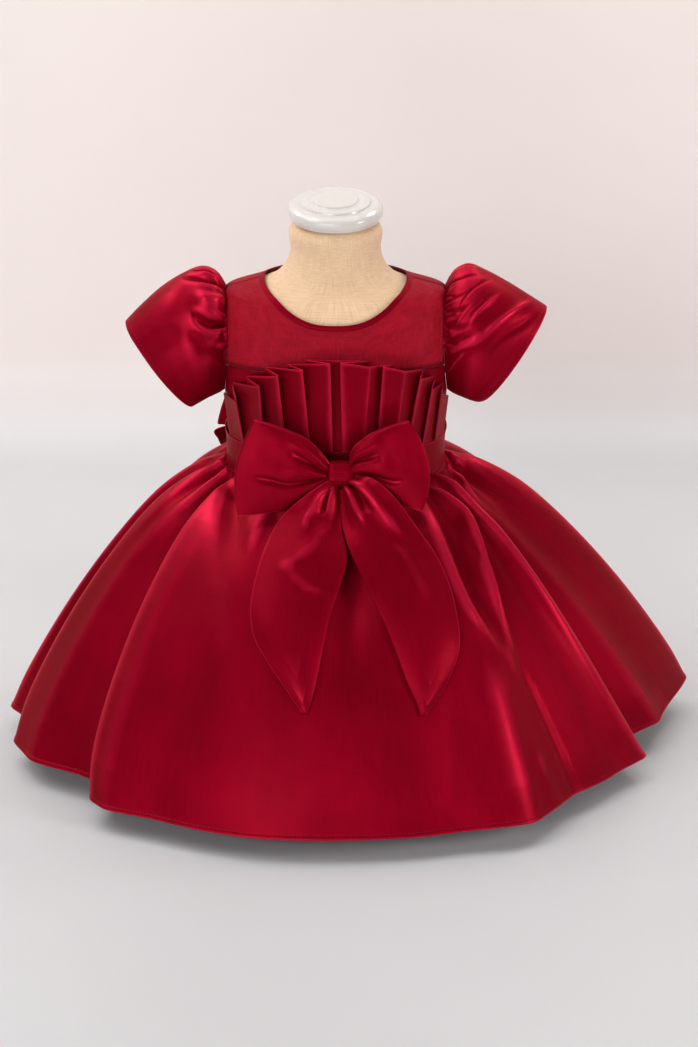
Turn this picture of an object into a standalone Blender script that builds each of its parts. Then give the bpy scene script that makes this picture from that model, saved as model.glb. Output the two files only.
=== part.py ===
"""Toddler party dress on a limbless dress form.

The form stands on a round base at the origin. -Y is the front and +Z is up.
Every size below is in millimetres, and `left` and `right` are as seen from the
front. Cloth pieces are open sheets worked out from the body line and the skirt
line, and a Solidify modifier gives each its wall.
"""
import functools
import math

import bmesh
import bpy
import numpy as np

MM = 0.001
CLOTH = 1.2
SEAM_GAP = 0.4

# The outer line of the bodice and neck: flat sections through it.
# height, half width, front depth, back depth, roundness
BODY_SECTIONS = (
    (188, 87.0, 65.0, 63.0, 2.3),
    (246, 90.0, 67.0, 62.0, 2.4),
    (276, 90.0, 67.5, 61.0, 2.4),
    (308, 91.5, 66.0, 60.0, 2.6),
    (340, 92.0, 62.5, 58.0, 2.9),
    (365, 92.0, 57.0, 54.5, 2.9),
    (380, 91.7, 52.0, 50.0, 2.7),
    (390, 90.6, 47.5, 46.0, 2.4),
    (396, 89.0, 44.0, 43.0, 2.2),
    (401, 73.0, 41.5, 42.0, 2.0),
    (405.5, 57.5, 40.0, 41.0, 2.0),
    (412, 47.5, 38.6, 40.0, 2.0),
    (421, 41.5, 37.8, 39.0, 2.0),
    (435, 38.6, 37.2, 38.0, 2.0),
    (452, 38.2, 37.6, 38.2, 2.0),
)
# The form under it. height, how far inside, more of that at the shoulder ends
FORM_SECTIONS = (
    (190, 8.0, 0.0), (193, 3.8, 0.0), (205, 2.2, 0.0), (230, 2.2, 0.0), (262, 2.2, 0.0),
    (300, 2.2, 0.0), (335, 2.2, 0.0), (360, 2.2, 2.2), (376, 2.2, 5.6), (386, 2.2, 6.4),
    (391.5, 2.2, 5.6), (395, 2.2, 4.4), (398, 2.2, 3.0), (401, 2.2, 1.6), (405.5, 2.2, 0.4),
    (411, 2.2, 0.0), (419, 2.2, 0.0), (431, 2.2, 0.0), (452, 2.2, 0.0),
)
FORM_SINK, SHOULDER_START = 2.2, 370

# Landmarks of the cut
# The neckline seen from above: half width, depth to the front and back, roundness
NECK_HALF_WIDTH, NECK_FRONT, NECK_BACK, NECK_ROUNDNESS = 57.3, 52.4, 37.0, 2.7
NECK_LOWEST, NECK_HIGHEST = 365.0, 412.0
BINDING_WIDTH = 4.0
# How much of a width of cloth beside the neckline shows from above: front, back, side
FRONT_SHOWS, BACK_SHOWS, SIDE_SHOWS = 0.33, 0.6, 0.95
SHOULDER_TIP = 396.0
SHOULDER_GAP = 0.55
NECK_COLUMNS, SHOULDER_COLUMNS = 8, 3
YOKE_ROWS, BODICE_ROWS, BODICE_COLUMNS, SEAM_COLUMNS = 6, 4, 10, 6
BAND_COLUMNS, BAND_STAND = 40, 0.5
BACK_EDGE = math.radians(0.4)
YOKE_SEAM_CENTRE, YOKE_SEAM_SIDE = 342.0, 338.0
ARMHOLE_CENTRE, ARMHOLE_HALF_HEIGHT, ARMHOLE_HALF_DEPTH = 352.0, 44.0, 29.0
BAND_TOP, BAND_FOOT = 276.0, 246.0

# The skirt's line from the waist to the hem: share of the spread, share of the fall.
SKIRT_LINE = (
    (0.00, 0.000), (0.06, 0.008), (0.16, 0.040), (0.33, 0.147),
    (0.53, 0.342), (0.73, 0.580), (0.91, 0.836), (1.00, 1.000),
)
# Its large folds, counted round from the left of the back.
# hem angle, hem radius, hem height, waist angle, swing and sinking of its middle
SKIRT_FOLDS = (
    (-172, 262, 19, -173, 0, 0),
    (-160, 238, 19, -163, 0, 9),
    (-146, 266, 19, -150, 3, 0),
    (-135, 243, 19, -139, 2, 8),
    (-118, 274, 19, -124, -3, 0),
    (-105, 252, 20, -113, -2, 9),
    (-90, 280, 19, -97, 0, 0),
    (-82, 262, 19, -88, -3, 6),
    (-75.6, 280, 19, -80, -7, 0),
    (-67, 276, 19, -74, -6, 4),
    (-52.5, 250, 21, -65, -6, 13),
    (-47.5, 271, 19, -61, -6, 0),
    (-43, 274, 19, -53, -5, 0),
    (-31, 262, 19, -35, -1, 2),
    (-15, 261, 19, -18, 0, 0),
    (2, 257, 19, 2, 0, 0),
    (19, 260, 19, 20, 0, 0),
    (35, 275, 19, 37, 0, 0),
    (48, 262, 20, 51, 0, 2),
    (58, 266, 19, 59, -3, 3),
    (69, 278, 19, 66, -5, 0),
    (73.5, 256, 22, 72, -4, 15),
    (81, 277, 24, 84, -2, 13),
    (98, 307, 29, 100, 0, 0),
    (108, 266, 24, 108, 0, 6),
    (121, 282, 19, 122, 3, 0),
    (134, 248, 19, 134, 0, 9),
    (147, 270, 19, 147, -3, 0),
    (160, 240, 19, 160, 0, 8),
    (172, 264, 19, 172, 0, 0),
)
# Half the width over which each fold's corner is rounded, in degrees of the hem
FOLD_ROUNDING = 1.1
# Its largest creases: hem angle and share down of the start, middle and end, then
# height, width from, width to
SKIRT_CREASES = (
    (-73, 0.00, -67.5, 0.20, -69, 0.46, -4.5, 5, 10),
    (-44, 0.12, -38.0, 0.34, -30, 0.50, -6.5, 8, 12),
    (6, 0.30, 5.0, 0.50, 3, 0.80, -6.5, 10, 22),
    (40, 0.60, 34.5, 0.73, 28, 1.00, 6.0, 13, 25),
    (60, 0.08, 64.5, 0.33, 57, 0.64, -6.0, 8, 17),
    (85, 0.00, 88.0, 0.18, 83, 0.46, -5.0, 5, 10),
    (141, 0.00, 140.0, 0.24, 143, 0.60, -4.5, 6, 11),
    (-154, 0.00, -155.0, 0.22, -152, 0.56, -4.0, 6, 10),
)
# A deep fold that hangs from the waist beside the bow and ends in a point:
# share down, hem angle of its left and right edge, depth, height of its rim
SWAG = (
    (0.10, 43.0, 50.0, 0, 0), (0.22, 41.0, 55.0, 5, 1), (0.37, 37.0, 59.0, 10, 2),
    (0.50, 36.0, 53.0, 11, 2), (0.60, 38.5, 48.5, 6, 1), (0.68, 41.0, 44.0, 0, 0),
)
SWAG_RIM = 10
LEFT_SEAM, RIGHT_SEAM = -86, 88
# Spots that trace the hem, how many of them a corner's rounding reaches, and how
# quickly each fold falls away from its crest
HEM_SPOTS, HEM_SOFT, FOLD_POWER = 2880, 32, 1.25
WAIST_GATHERS = 60
# The gathers are fullest at the first share of the way down and gone at the second
GATHER_DEPTH, GATHER_FULL, GATHER_END = 2.3, 0.16, 0.42
SKIRT_STAND = 0.8
SKIRT_ROWS = (0.0, 0.035, 0.09, 0.17, 0.27, 0.39, 0.52, 0.66, 0.80, 0.92, 1.0)

# The fan's folds from left to right, where each crosses the top edge and the foot.
# across, depth, height, girth at the foot, stand-off at the foot
FAN_FOLDS = (
    (-91.6, -24, 312, -101, 1.4),
    (-80.0, -58, 315, -75, 4.6),
    (-84.6, -40, 327, -84, 1.4),
    (-60.0, -75, 334, -55, 4.6),
    (-73.8, -51, 336, -64, 1.4),
    (-44.8, -82, 346, -37, 4.6),
    (-57.8, -61, 347, -46, 1.4),
    (-24.8, -85, 352, -18, 4.6),
    (-39.5, -66, 351, -27, 1.4),
    (-2.2, -86, 358, 0.2, 5.6),
    (-25.0, -67, 355, -12, 1.4),
    (27.0, -67, 354, 15, 1.4),
    (3.4, -86, 359, 4.2, 5.6),
    (27.5, -85, 355, 22, 4.6),
    (48.0, -66, 351, 39, 1.4),
    (38.0, -84, 355, 32, 4.6),
    (56.0, -78, 349, 47, 4.2),
    (71.5, -55, 343, 62, 1.4),
    (68.0, -71, 340, 55, 4.6),
    (81.6, -45, 334, 78, 1.4),
    (77.5, -61, 327, 70, 4.6),
    (88.6, -34, 325, 92, 1.4),
    (85.5, -49, 320, 84, 4.4),
    (92.4, -19, 308, 106, 1.4),
)
FAN_CLOTH = 1.0
FOLD_WIDTH = 2.2
FAN_ROWS = 6
FAN_FOOT = 0.9

# Sleeve lines seen from the front, from the armhole to the hem.
# share, top across, top height, under across, under height, half depth
LEFT_SLEEVE = (
    (0.00, 90.5, 397.0, 92.5, 307.6, 29.0),
    (0.12, 96.5, 407.5, 95.5, 305.4, 33.0),
    (0.28, 109.0, 412.5, 100.0, 303.2, 37.0),
    (0.45, 124.0, 406.8, 105.0, 300.8, 38.5),
    (0.65, 143.0, 394.5, 110.0, 297.8, 37.5),
    (0.85, 161.5, 377.5, 115.5, 294.4, 35.0),
    (1.00, 172.7, 365.5, 118.4, 292.8, 33.0),
)
RIGHT_SLEEVE = (
    (0.00, 90.5, 397.0, 92.5, 307.6, 29.0),
    (0.12, 96.0, 408.0, 96.0, 305.0, 33.0),
    (0.28, 108.5, 414.5, 101.0, 302.6, 37.5),
    (0.45, 123.0, 408.8, 106.0, 300.6, 40.0),
    (0.65, 143.0, 397.5, 112.0, 298.2, 39.0),
    (0.85, 162.5, 385.0, 117.5, 297.0, 36.0),
    (1.00, 173.2, 378.0, 121.0, 298.0, 33.0),
)
# Their largest folds: turn and share out of the start, middle and end, then height,
# width from, width to; turn 0 is the shoulder and 90 the front
LEFT_SLEEVE_CREASES = (
    (55, 0.0, 68, 0.20, 52, 0.58, -8.0, 4.0, 8.0),
    (36, 0.0, 46, 0.16, 38, 0.50, 4.0, 6.0, 10.0),
    (16, 0.0, 25, 0.18, 8, 0.48, -4.0, 3.0, 5.0),
    (-53, 0.0, -63, 0.18, -58, 0.44, -4.0, 3.0, 6.0),
)
RIGHT_SLEEVE_CREASES = (
    (-10, 0.0, -5, 0.15, -3, 0.38, -4.5, 3.0, 5.0),
    (98, 0.05, 92, 0.28, 70, 0.60, 1.8, 3.0, 6.0),
    (76, 0.48, 54, 0.65, 6, 0.86, 1.8, 5.0, 8.0),
    (-54, 0.0, -61, 0.20, -56, 0.44, -3.4, 3.0, 6.0),
)
SLEEVE_SHARES = (0.0, 0.07, 0.18, 0.32, 0.50, 0.70, 0.87, 1.0)
SLEEVE_COLUMNS = 36
SLEEVE_SEAM = 1.6
HEAD_GATHERS = 10
HEAD_REACH = math.radians(100)
HEAD_GATHER_DEPTH, HEAD_GATHER_END = 1.6, 0.62

# The tails' outer and inner edge, from the knot down
LEFT_TAIL = (
    ((-7.0, -96.4, 259.5), (4.2, -96.8, 252.4)),
    ((-24.9, -102.8, 252.3), (3.9, -101.5, 242.9)),
    ((-44.9, -108.0, 232.8), (4.9, -117.6, 227.7)),
    ((-59.0, -128.8, 209.7), (9.3, -135.9, 210.8)),
    ((-66.8, -149.1, 184.2), (3.7, -151.7, 193.1)),
    ((-67.8, -160.5, 169.9), (-3.4, -165.8, 175.6)),
    ((-64.0, -173.2, 155.4), (-7.9, -177.2, 160.6)),
    ((-51.1, -188.9, 138.8), (-12.9, -192.2, 139.4)),
    ((-37.5, -201.9, 122.9), (-17.6, -204.2, 121.3)),
    ((-26.3, -211.4, 109.4), (-22.0, -212.2, 108.5)),
)
RIGHT_TAIL = (
    ((16.8, -96.4, 260.8), (5.6, -96.8, 252.4)),
    ((30.2, -105.0, 266.9), (5.6, -101.5, 245.6)),
    ((48.7, -108.0, 250.8), (6.2, -113.0, 231.1)),
    ((67.3, -116.0, 226.2), (10.9, -130.3, 216.4)),
    ((80.9, -124.7, 208.9), (18.9, -142.4, 203.1)),
    ((91.2, -138.5, 190.2), (28.5, -155.8, 186.1)),
    ((97.4, -154.2, 169.0), (38.8, -168.3, 168.5)),
    ((99.2, -168.8, 149.1), (48.3, -181.4, 148.6)),
    ((93.0, -182.4, 131.6), (56.2, -192.7, 130.1)),
    ((82.5, -195.4, 115.6), (64.1, -201.1, 114.7)),
    ((71.6, -205.6, 104.6), (68.4, -206.5, 104.6)),
)
BACK_TAIL_LEFT = (
    ((-12.0, 88, 259), (-2.0, 88, 252.2)),
    ((-52.0, 93, 247), (-8.0, 98, 243)),
    ((-101.0, 92, 238.8), (-24.0, 112, 231)),
    ((-101.5, 98, 226), (-38.0, 127, 214)),
    ((-97.0, 121, 207), (-47.0, 146, 196)),
    ((-94.0, 141, 187), (-54.0, 162, 178)),
    ((-89.0, 160, 166), (-60.0, 177, 160)),
    ((-81.0, 178, 146), (-66.0, 189, 142)),
    ((-73.5, 191, 130), (-70.0, 193, 129)),
)
BACK_TAIL_RIGHT = (
    ((13.0, 88, 259), (2.0, 88, 252.2)),
    ((33.0, 94, 247), (5.0, 100, 243)),
    ((50.0, 108, 228), (8.0, 118, 229)),
    ((62.0, 126, 206), (12.0, 138, 211)),
    ((66.0, 146, 180), (15.0, 158, 190)),
    ((62.0, 166, 154), (19.0, 176, 168)),
    ((50.0, 184, 137), (26.0, 192, 146)),
    ((38.0, 200, 126), (33.0, 203, 127)),
)
# The folds that run down out of the knot: place from the outer to the inner edge and
# share down of the start, middle and end, then height, width from, width to
LEFT_TAIL_CREASES = (
    (0.42, 0.03, 0.55, 0.11, 0.66, 0.19, -4.0, 3.0, 5.0),
    (0.55, 0.02, 0.82, 0.13, 0.76, 0.28, 2.6, 3.0, 6.0),
)
RIGHT_TAIL_CREASES = (
    (0.52, 0.0, 0.51, 0.11, 0.51, 0.215, -5.5, 3.0, 6.0),
    (0.34, 0.0, 0.32, 0.12, 0.26, 0.34, 2.6, 4.0, 8.0),
)
BACK_TAIL_CREASES = (
    (0.50, 0.0, 0.52, 0.10, 0.54, 0.22, -4.0, 3.0, 6.0),
    (0.32, 0.0, 0.30, 0.12, 0.28, 0.34, 2.6, 4.0, 8.0),
)
# How far a tail's middle bows out, its rows and columns, and the share over which
# its direction is taken
TAIL_CROWN = 7.0
TAIL_STEPS, TAIL_COLUMNS, TAIL_REACH = 15, 6, 0.01
# name, edges, creases, facing (-1 is the front)
BOW_TAILS = (
    ("bow_tail_left", LEFT_TAIL, LEFT_TAIL_CREASES, -1),
    ("bow_tail_right", RIGHT_TAIL, RIGHT_TAIL_CREASES, -1),
    ("back_bow_tail_left", BACK_TAIL_LEFT, BACK_TAIL_CREASES, 1),
    ("back_bow_tail_right", BACK_TAIL_RIGHT, BACK_TAIL_CREASES, 1),
)

# Bow loops, each a band from the side of the knot out to its pressed fold and back:
# its top and its foot from the knot out (share, x, y, z), the bulge of the fold, its
# fullness, facing, and its creases by rise and share out
BOW_LOOPS = {
    "bow_loop_left": (
        ((0, -5.6, -88, 272.5), (0.1, -10.7, -87.8, 280.1), (0.25, -18.7, -87.5, 290.3),
         (0.58, -38.2, -86.8, 301.2), (1, -63.2, -86, 310.4)),
        ((0, -5.6, -91, 259.0), (0.1, -12.7, -92.5, 254.3), (0.25, -20.6, -94.7, 246.9),
         (0.45, -36, -97.8, 238.5), (0.68, -52.1, -101.2, 237.7), (1, -76.5, -106, 235.3)),
        8.6, 6.0, -1,
        ((0.50, 0.0, 0.66, 0.24, 0.81, 0.55, -3.0, 3.0, 5.0),
         (0.30, 0.0, 0.36, 0.50, 0.42, 0.93, -3.0, 3.0, 5.0),
         (0.76, 0.0, 0.85, 0.25, 0.93, 0.60, 2.0, 3.0, 6.0))),
    "bow_loop_right": (
        ((0, 15.4, -88, 272.5), (0.08, 16.1, -87.8, 283.1), (0.25, 23.7, -87.5, 294.0),
         (0.6, 40.1, -86.8, 303.4), (1, 57.1, -86, 309.3)),
        ((0, 15.4, -91, 259.5), (0.28, 29.7, -95.2, 256.8), (0.62, 48.8, -100.3, 246.4),
         (1, 68.1, -106, 240.0)),
        11.0, 6.0, -1,
        ((0.70, 0.0, 0.62, 0.20, 0.70, 0.46, -3.0, 3.0, 5.0),
         (0.31, 0.0, 0.22, 0.30, 0.34, 0.74, -3.0, 3.0, 5.0),
         (0.86, 0.0, 0.84, 0.22, 0.90, 0.55, 2.0, 3.0, 6.0))),
    "back_bow_loop_left": (
        ((0, -9.6, 78, 270.5), (0.25, -28, 79, 287), (0.6, -58, 78, 294), (1, -84, 76, 292)),
        ((0, -9.6, 80, 258.5), (0.3, -36, 82, 250), (0.65, -68, 82, 247), (1, -99.6, 80, 247.4)),
        2.0, 5.0, 1,
        ((0.55, 0.0, 0.66, 0.26, 0.78, 0.60, -2.4, 3.0, 5.0),)),
    "back_bow_loop_right": (
        ((0, 9.6, 78, 270.5), (0.25, 26, 79, 290), (0.6, 50, 78, 302), (1, 74, 77, 304)),
        ((0, 9.6, 80, 258.5), (0.3, 30, 84, 248), (0.65, 54, 90, 241), (1, 78, 96, 240)),
        7.0, 5.0, 1,
        ((0.55, 0.0, 0.66, 0.26, 0.78, 0.60, -2.4, 3.0, 5.0),)),
}
# Half the opening of a loop, and the share of its fullness that its rear layer has
LOOP_GAP, REAR_SHARE = 1.9, 0.5
LOOP_SHARES = (0.0, 0.1, 0.24, 0.42, 0.62, 0.82)
FOLD_STEPS, LOOP_ROWS = 3, 6
# name, centre, size
BOW_KNOTS = (
    ("bow_knot", (4.9, -87.5, 264), (18.5, 15, 20)),
    ("back_bow_knot", (0, 77.5, 264), (17, 15, 20)),
)
KNOT_ROUNDING, KNOT_SEGMENTS = 0.24, 3

# Turned profiles of the form's cap, pole and base, from the top down the side.
# radius, height
CAP_PROFILE = (
    (0, 15.6), (18.4, 15.3), (19.4, 14.2), (28.4, 13.6), (29.4, 12.2),
    (35.0, 11.6), (38.0, 9.6), (38.8, 6.0), (37.8, 1.2), (36.0, 0), (0, 0),
)
POLE_PROFILE = ((0, 189.6), (9, 189.6), (10, 188.6), (10, 12.4), (9.6, 12.0), (0, 12.0))
BASE_PROFILE = (
    (0, 11.6), (96, 11.0), (103, 8.6), (105, 5.0), (105, 1.0), (104, 0), (0, 0),
)
CAP_SEAT, CAP_TILT = 455, math.radians(6)
FORM_COLUMNS, CAP_STEPS, POLE_STEPS, BASE_STEPS = 32, 32, 20, 36

SATIN_RED = (0.195, 0.0045, 0.016, 1.0)
ORGANZA_RED = (0.34, 0.022, 0.040, 1.0)
LINEN = (0.69, 0.50, 0.32, 1.0)
CAP_WHITE = (0.86, 0.84, 0.80, 1.0)
STEEL = (0.55, 0.55, 0.56, 1.0)


# The share of a crease's length over which it starts at a seam, and starts and ends
# elsewhere
CREASE_START, CREASE_END = 0.1, 0.35

# ---------------------------------------------------------------- tools


def clear_scene():
    for item in list(bpy.data.objects):
        bpy.data.objects.remove(item)


def smooth(rows, key):
    """The other columns of a table at a value of its first, on a smooth curve."""
    table = np.asarray(rows, float)
    keys, values = table[:, 0], table[:, 1:]
    slopes = np.gradient(values, keys, axis=0)
    spot = int(np.clip(np.searchsorted(keys, key) - 1, 0, len(keys) - 2))
    span = keys[spot + 1] - keys[spot]
    t = float(np.clip((key - keys[spot]) / span, 0, 1))
    rise = t * t * (3 - 2 * t)
    start = span * slopes[spot] * (t ** 3 - 2 * t ** 2 + t)
    end = span * slopes[spot + 1] * (t ** 3 - t ** 2)
    return values[spot] + (values[spot + 1] - values[spot]) * rise + start + end


def lerp(a, b, t):
    return a + (b - a) * t


def crease_lift(rows, place, share, scale):
    """How far creases lift the cloth at a place and share along it.

    scale is the length of one unit of place there."""
    lift = 0.0
    for p0, s0, p1, s1, p2, s2, height, narrow, wide in rows:
        if s0 <= share <= s2:
            line = np.interp(share, (s0, s1, s2), (p0, p1, p2))
            along = (share - s0) / (s2 - s0)
            across = (place - line) * scale / lerp(narrow, wide, along)
            start = min(1.0, along / (CREASE_START if s0 == 0 else CREASE_END))
            end = 1.0 if s2 == 1 else min(1.0, (1 - along) / CREASE_END)
            lift += height * start * end * math.exp(-across * across)
    return lift


def material(name, colour, roughness, metallic=0.0):
    made = bpy.data.materials.new(name)
    made.use_nodes = True
    shader = made.node_tree.nodes["Principled BSDF"]
    shader.inputs["Base Color"].default_value = colour
    shader.inputs["Roughness"].default_value = roughness
    shader.inputs["Metallic"].default_value = metallic
    made.diffuse_color = colour
    return made


def add_object(name, mesh, finish):
    item = bpy.data.objects.new(name, mesh)
    mesh.materials.append(finish)
    DRESS.objects.link(item)
    return item


def sheet(name, rows, finish, wall=CLOTH, side=-1.0, closed=False):
    """An open sheet through rows of points, given its wall by Solidify.

    side -1 puts the wall behind the points, 0 on both sides of them."""
    rows = np.asarray(rows, float)
    count = rows.shape[1]
    shape = bmesh.new()
    points = [[shape.verts.new(point * MM) for point in row] for row in rows]
    last = count if closed else count - 1
    for lower, upper in zip(points, points[1:]):
        for k in range(last):
            after = (k + 1) % count
            shape.faces.new((lower[k], lower[after], upper[after], upper[k]))
    mesh = bpy.data.meshes.new(name)
    shape.to_mesh(mesh)
    shape.free()
    mesh.shade_smooth()
    item = add_object(name, mesh, finish)
    walls = item.modifiers.new("wall", "SOLIDIFY")
    walls.thickness = wall * MM
    walls.offset = side
    walls.use_even_offset = True
    walls.use_quality_normals = True
    return item


def trim_ends(rows, gap):
    """Draw a sheet's two upright edges in, to leave the gap of a seam."""
    rows = np.array(rows, float)
    for edge, inner in ((0, 1), (-1, -2)):
        way = rows[:, inner] - rows[:, edge]
        rows[:, edge] += way / np.linalg.norm(way, axis=1, keepdims=True) * gap / 2
    return rows


# ---------------------------------------------------------------- body line


@functools.lru_cache(maxsize=None)
def body_section(height):
    return tuple(smooth(BODY_SECTIONS, height))


def body_point(height, angle, out=0.0):
    """A point on the body line. Angle 0 is the front and +90 degrees is +X."""
    half, front, back, roundness = body_section(round(height, 3))
    sine, cosine = math.sin(angle), math.cos(angle)
    depth = front if cosine > 0 else back
    power = 2 / roundness
    x = (half + out) * math.copysign(abs(sine) ** power, sine)
    y = -(depth + out) * math.copysign(abs(cosine) ** power, cosine)
    return np.array((x, y, height))


@functools.lru_cache(maxsize=None)
def girth_line(height):
    """The body line at a height by its girth from the centre front."""
    angles = np.linspace(-math.pi, math.pi, 1441)
    points = np.array([body_point(height, a) for a in angles])[:, :2]
    steps = np.linalg.norm(np.diff(points, axis=0), axis=1)
    girth = np.concatenate(([0], np.cumsum(steps)))
    girth -= girth[len(angles) // 2]
    along = np.gradient(points, girth, axis=0)
    out = np.column_stack((along[:, 1], -along[:, 0]))
    out /= np.linalg.norm(out, axis=1, keepdims=True)
    return girth, points, out


def at_girth(height, girth, out=0.0):
    line, points, outward = girth_line(round(height, 3))
    x, y = (np.interp(girth, line, points[:, k] + out * outward[:, k]) for k in (0, 1))
    return np.array((x, y, height))


def armhole_angle(height, back=False):
    """Where the armhole's oval crosses the body line at a height, as its angle."""
    share = np.clip((height - ARMHOLE_CENTRE) / ARMHOLE_HALF_HEIGHT, -1, 1)
    depth = ARMHOLE_HALF_DEPTH * math.sqrt(1 - share * share)
    half, front, rear, roundness = body_section(round(float(height), 3))
    reach = min(1.0, depth / (rear if back else front))
    turn = math.acos(reach ** (roundness / 2))
    return math.pi - turn if back else turn


def armhole_point(turn, out=0.0):
    """A point of the armhole: turn 0 is the shoulder, +90 degrees the front."""
    height = ARMHOLE_CENTRE + ARMHOLE_HALF_HEIGHT * math.cos(turn)
    back = math.sin(turn) < 0
    return body_point(height, armhole_angle(height, back), out)


def body_height(x, y):
    """The height at which the body line passes over a spot near the neck."""
    low, high = NECK_LOWEST, NECK_HIGHEST
    for _ in range(40):
        height = (low + high) / 2
        half, front, back, roundness = body_section(height)
        depth = front if y < 0 else back
        if (abs(x) / half) ** roundness + (abs(y) / depth) ** roundness < 1:
            low = height
        else:
            high = height
    return low


def neck_spot(angle, width=0.0):
    """The neckline, or a line a width outside it: its angle on the body, height."""
    power = 2 / NECK_ROUNDNESS
    front = math.cos(angle) > 0
    depth = NECK_FRONT + FRONT_SHOWS * width if front else NECK_BACK + BACK_SHOWS * width
    x = (NECK_HALF_WIDTH + SIDE_SHOWS * width) * abs(math.sin(angle)) ** power
    y = depth * abs(math.cos(angle)) ** power
    height = body_height(x, -y if front else y)
    half, fore, rear, roundness = body_section(height)
    across = (x / half) ** (roundness / 2)
    along = (y / (fore if front else rear)) ** (roundness / 2)
    turn = math.atan2(across, along if front else -along)
    return math.copysign(turn, angle), height


# ---------------------------------------------------------------- bodice


def yoke_tops(back):
    """Where a yoke's columns meet the neckline and the shoulder: angle, height."""
    width = BINDING_WIDTH + SEAM_GAP
    seam = math.pi / 2 + math.radians(SHOULDER_GAP if back else -SHOULDER_GAP)
    tops = [neck_spot(math.pi - a if back else a, width)
            for a in np.linspace(0, math.pi / 2, NECK_COLUMNS + 1)]
    tops[-1] = (seam, tops[-1][1])
    heights = np.linspace(tops[-1][1], SHOULDER_TIP, SHOULDER_COLUMNS + 1)[1:]
    return tops + [(seam, height) for height in heights]


def yoke_half(back):
    """Rows of points of half a yoke, from its centre line to the armhole."""
    middle = math.pi if back else 0.0
    tops = yoke_tops(back)
    foot_turn = armhole_angle(YOKE_SEAM_SIDE, back)
    seam = tops[-1][0]
    grid = []
    for row in range(YOKE_ROWS + 1):
        climb = math.sin(row / YOKE_ROWS * math.pi / 2)
        edge_turn = armhole_angle(lerp(YOKE_SEAM_SIDE, SHOULDER_TIP, climb), back)
        straight = lerp(foot_turn, math.pi / 2, climb)
        line = []
        for column, (top_turn, top_height) in enumerate(tops):
            share = column / (len(tops) - 1)
            turn = lerp(lerp(middle, foot_turn, share), top_turn, climb)
            turn += (edge_turn - straight) * share ** 3
            turn = max(turn, seam) if back else min(turn, seam)
            foot = lerp(YOKE_SEAM_CENTRE, YOKE_SEAM_SIDE, share ** 2)
            line.append(body_point(lerp(foot, top_height, climb), turn))
        grid.append(line)
    return np.array(grid)


def bodice_half(back):
    """Rows of points of half a bodice, from its centre line to the side seam."""
    middle = math.pi if back else 0.0
    seam_turn = armhole_angle(YOKE_SEAM_SIDE, back)
    underarm = ARMHOLE_CENTRE - ARMHOLE_HALF_HEIGHT
    tops = []
    for column in range(SEAM_COLUMNS + 1):
        share = column / SEAM_COLUMNS
        height = lerp(YOKE_SEAM_CENTRE, YOKE_SEAM_SIDE, share ** 2)
        tops.append((lerp(middle, seam_turn, share), height - SEAM_GAP))
    armhole_columns = BODICE_COLUMNS - SEAM_COLUMNS
    for column in range(1, armhole_columns + 1):
        share = math.sin(column / armhole_columns * math.pi / 2)
        height = lerp(YOKE_SEAM_SIDE - SEAM_GAP, underarm, share)
        tops.append((armhole_angle(height, back), height))
    grid = []
    for row in range(BODICE_ROWS + 1):
        rise = row / BODICE_ROWS
        line = []
        for column, (top_turn, top_height) in enumerate(tops):
            foot_turn = lerp(middle, math.pi / 2, column / BODICE_COLUMNS)
            turn = lerp(foot_turn, top_turn, rise)
            height = lerp(BAND_TOP + SEAM_GAP, top_height, rise)
            line.append(body_point(height, turn))
        grid.append(line)
    return np.array(grid)


def whole_front(right):
    """A left half mirrored off the right one, joined on the centre line."""
    left = right[:, :0:-1] * np.array((-1, 1, 1))
    return np.concatenate((left, right), axis=1)


def back_panels(name, half, finish):
    right = trim_ends(half[:, ::-1], SEAM_GAP)
    sheet(name + "_right", right, finish)
    left = right[:, ::-1] * np.array((-1, 1, 1))
    sheet(name + "_left", left, finish)


def build_bodice():
    sheer = material("organza", ORGANZA_RED, 0.5)
    sheet("yoke_front", trim_ends(whole_front(yoke_half(False)), SEAM_GAP), sheer)
    back_panels("yoke_back", yoke_half(True), sheer)
    sheet("bodice_front", trim_ends(whole_front(bodice_half(False)), SEAM_GAP), SATIN)
    back_panels("bodice_back", bodice_half(True), SATIN)


def build_neck_binding():
    quarter = np.linspace(0, math.pi / 2, NECK_COLUMNS + 1)
    half = np.concatenate((quarter, math.pi - quarter[-2::-1]))
    half[-1] = math.pi - BACK_EDGE
    angles = np.concatenate((-half[:0:-1], half))
    rows = []
    for width in (BINDING_WIDTH, 0.0):
        spots = [neck_spot(a, width) for a in angles]
        rows.append([body_point(height, turn) for turn, height in spots])
    sheet("neck_binding", rows, SATIN)


def build_waistband():
    rows = []
    for height in (BAND_FOOT, BAND_TOP):
        reach = girth_line(height)[0][-1]
        rows.append([at_girth(height, g, BAND_STAND)
                     for g in np.linspace(-reach, reach, BAND_COLUMNS + 1)])
    sheet("waistband", trim_ends(rows, SEAM_GAP), SATIN)


# ---------------------------------------------------------------- fan ruffle


def rounded_folds(points, width):
    """Blunt each inner corner of a zigzag line to a fold of the given width."""
    points = np.asarray(points, float)
    blunt = [points[0]]
    for before, here, after in zip(points, points[1:], points[2:]):
        to_before = (before - here) / np.linalg.norm((before - here)[:2])
        to_after = (after - here) / np.linalg.norm((after - here)[:2])
        spread = np.linalg.norm((to_before - to_after)[:2])
        back = min(width / max(spread, 0.2), 5.0)
        blunt.append(here + to_before * back)
        blunt.append(here + to_after * back)
    blunt.append(points[-1])
    return np.array(blunt)


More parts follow.
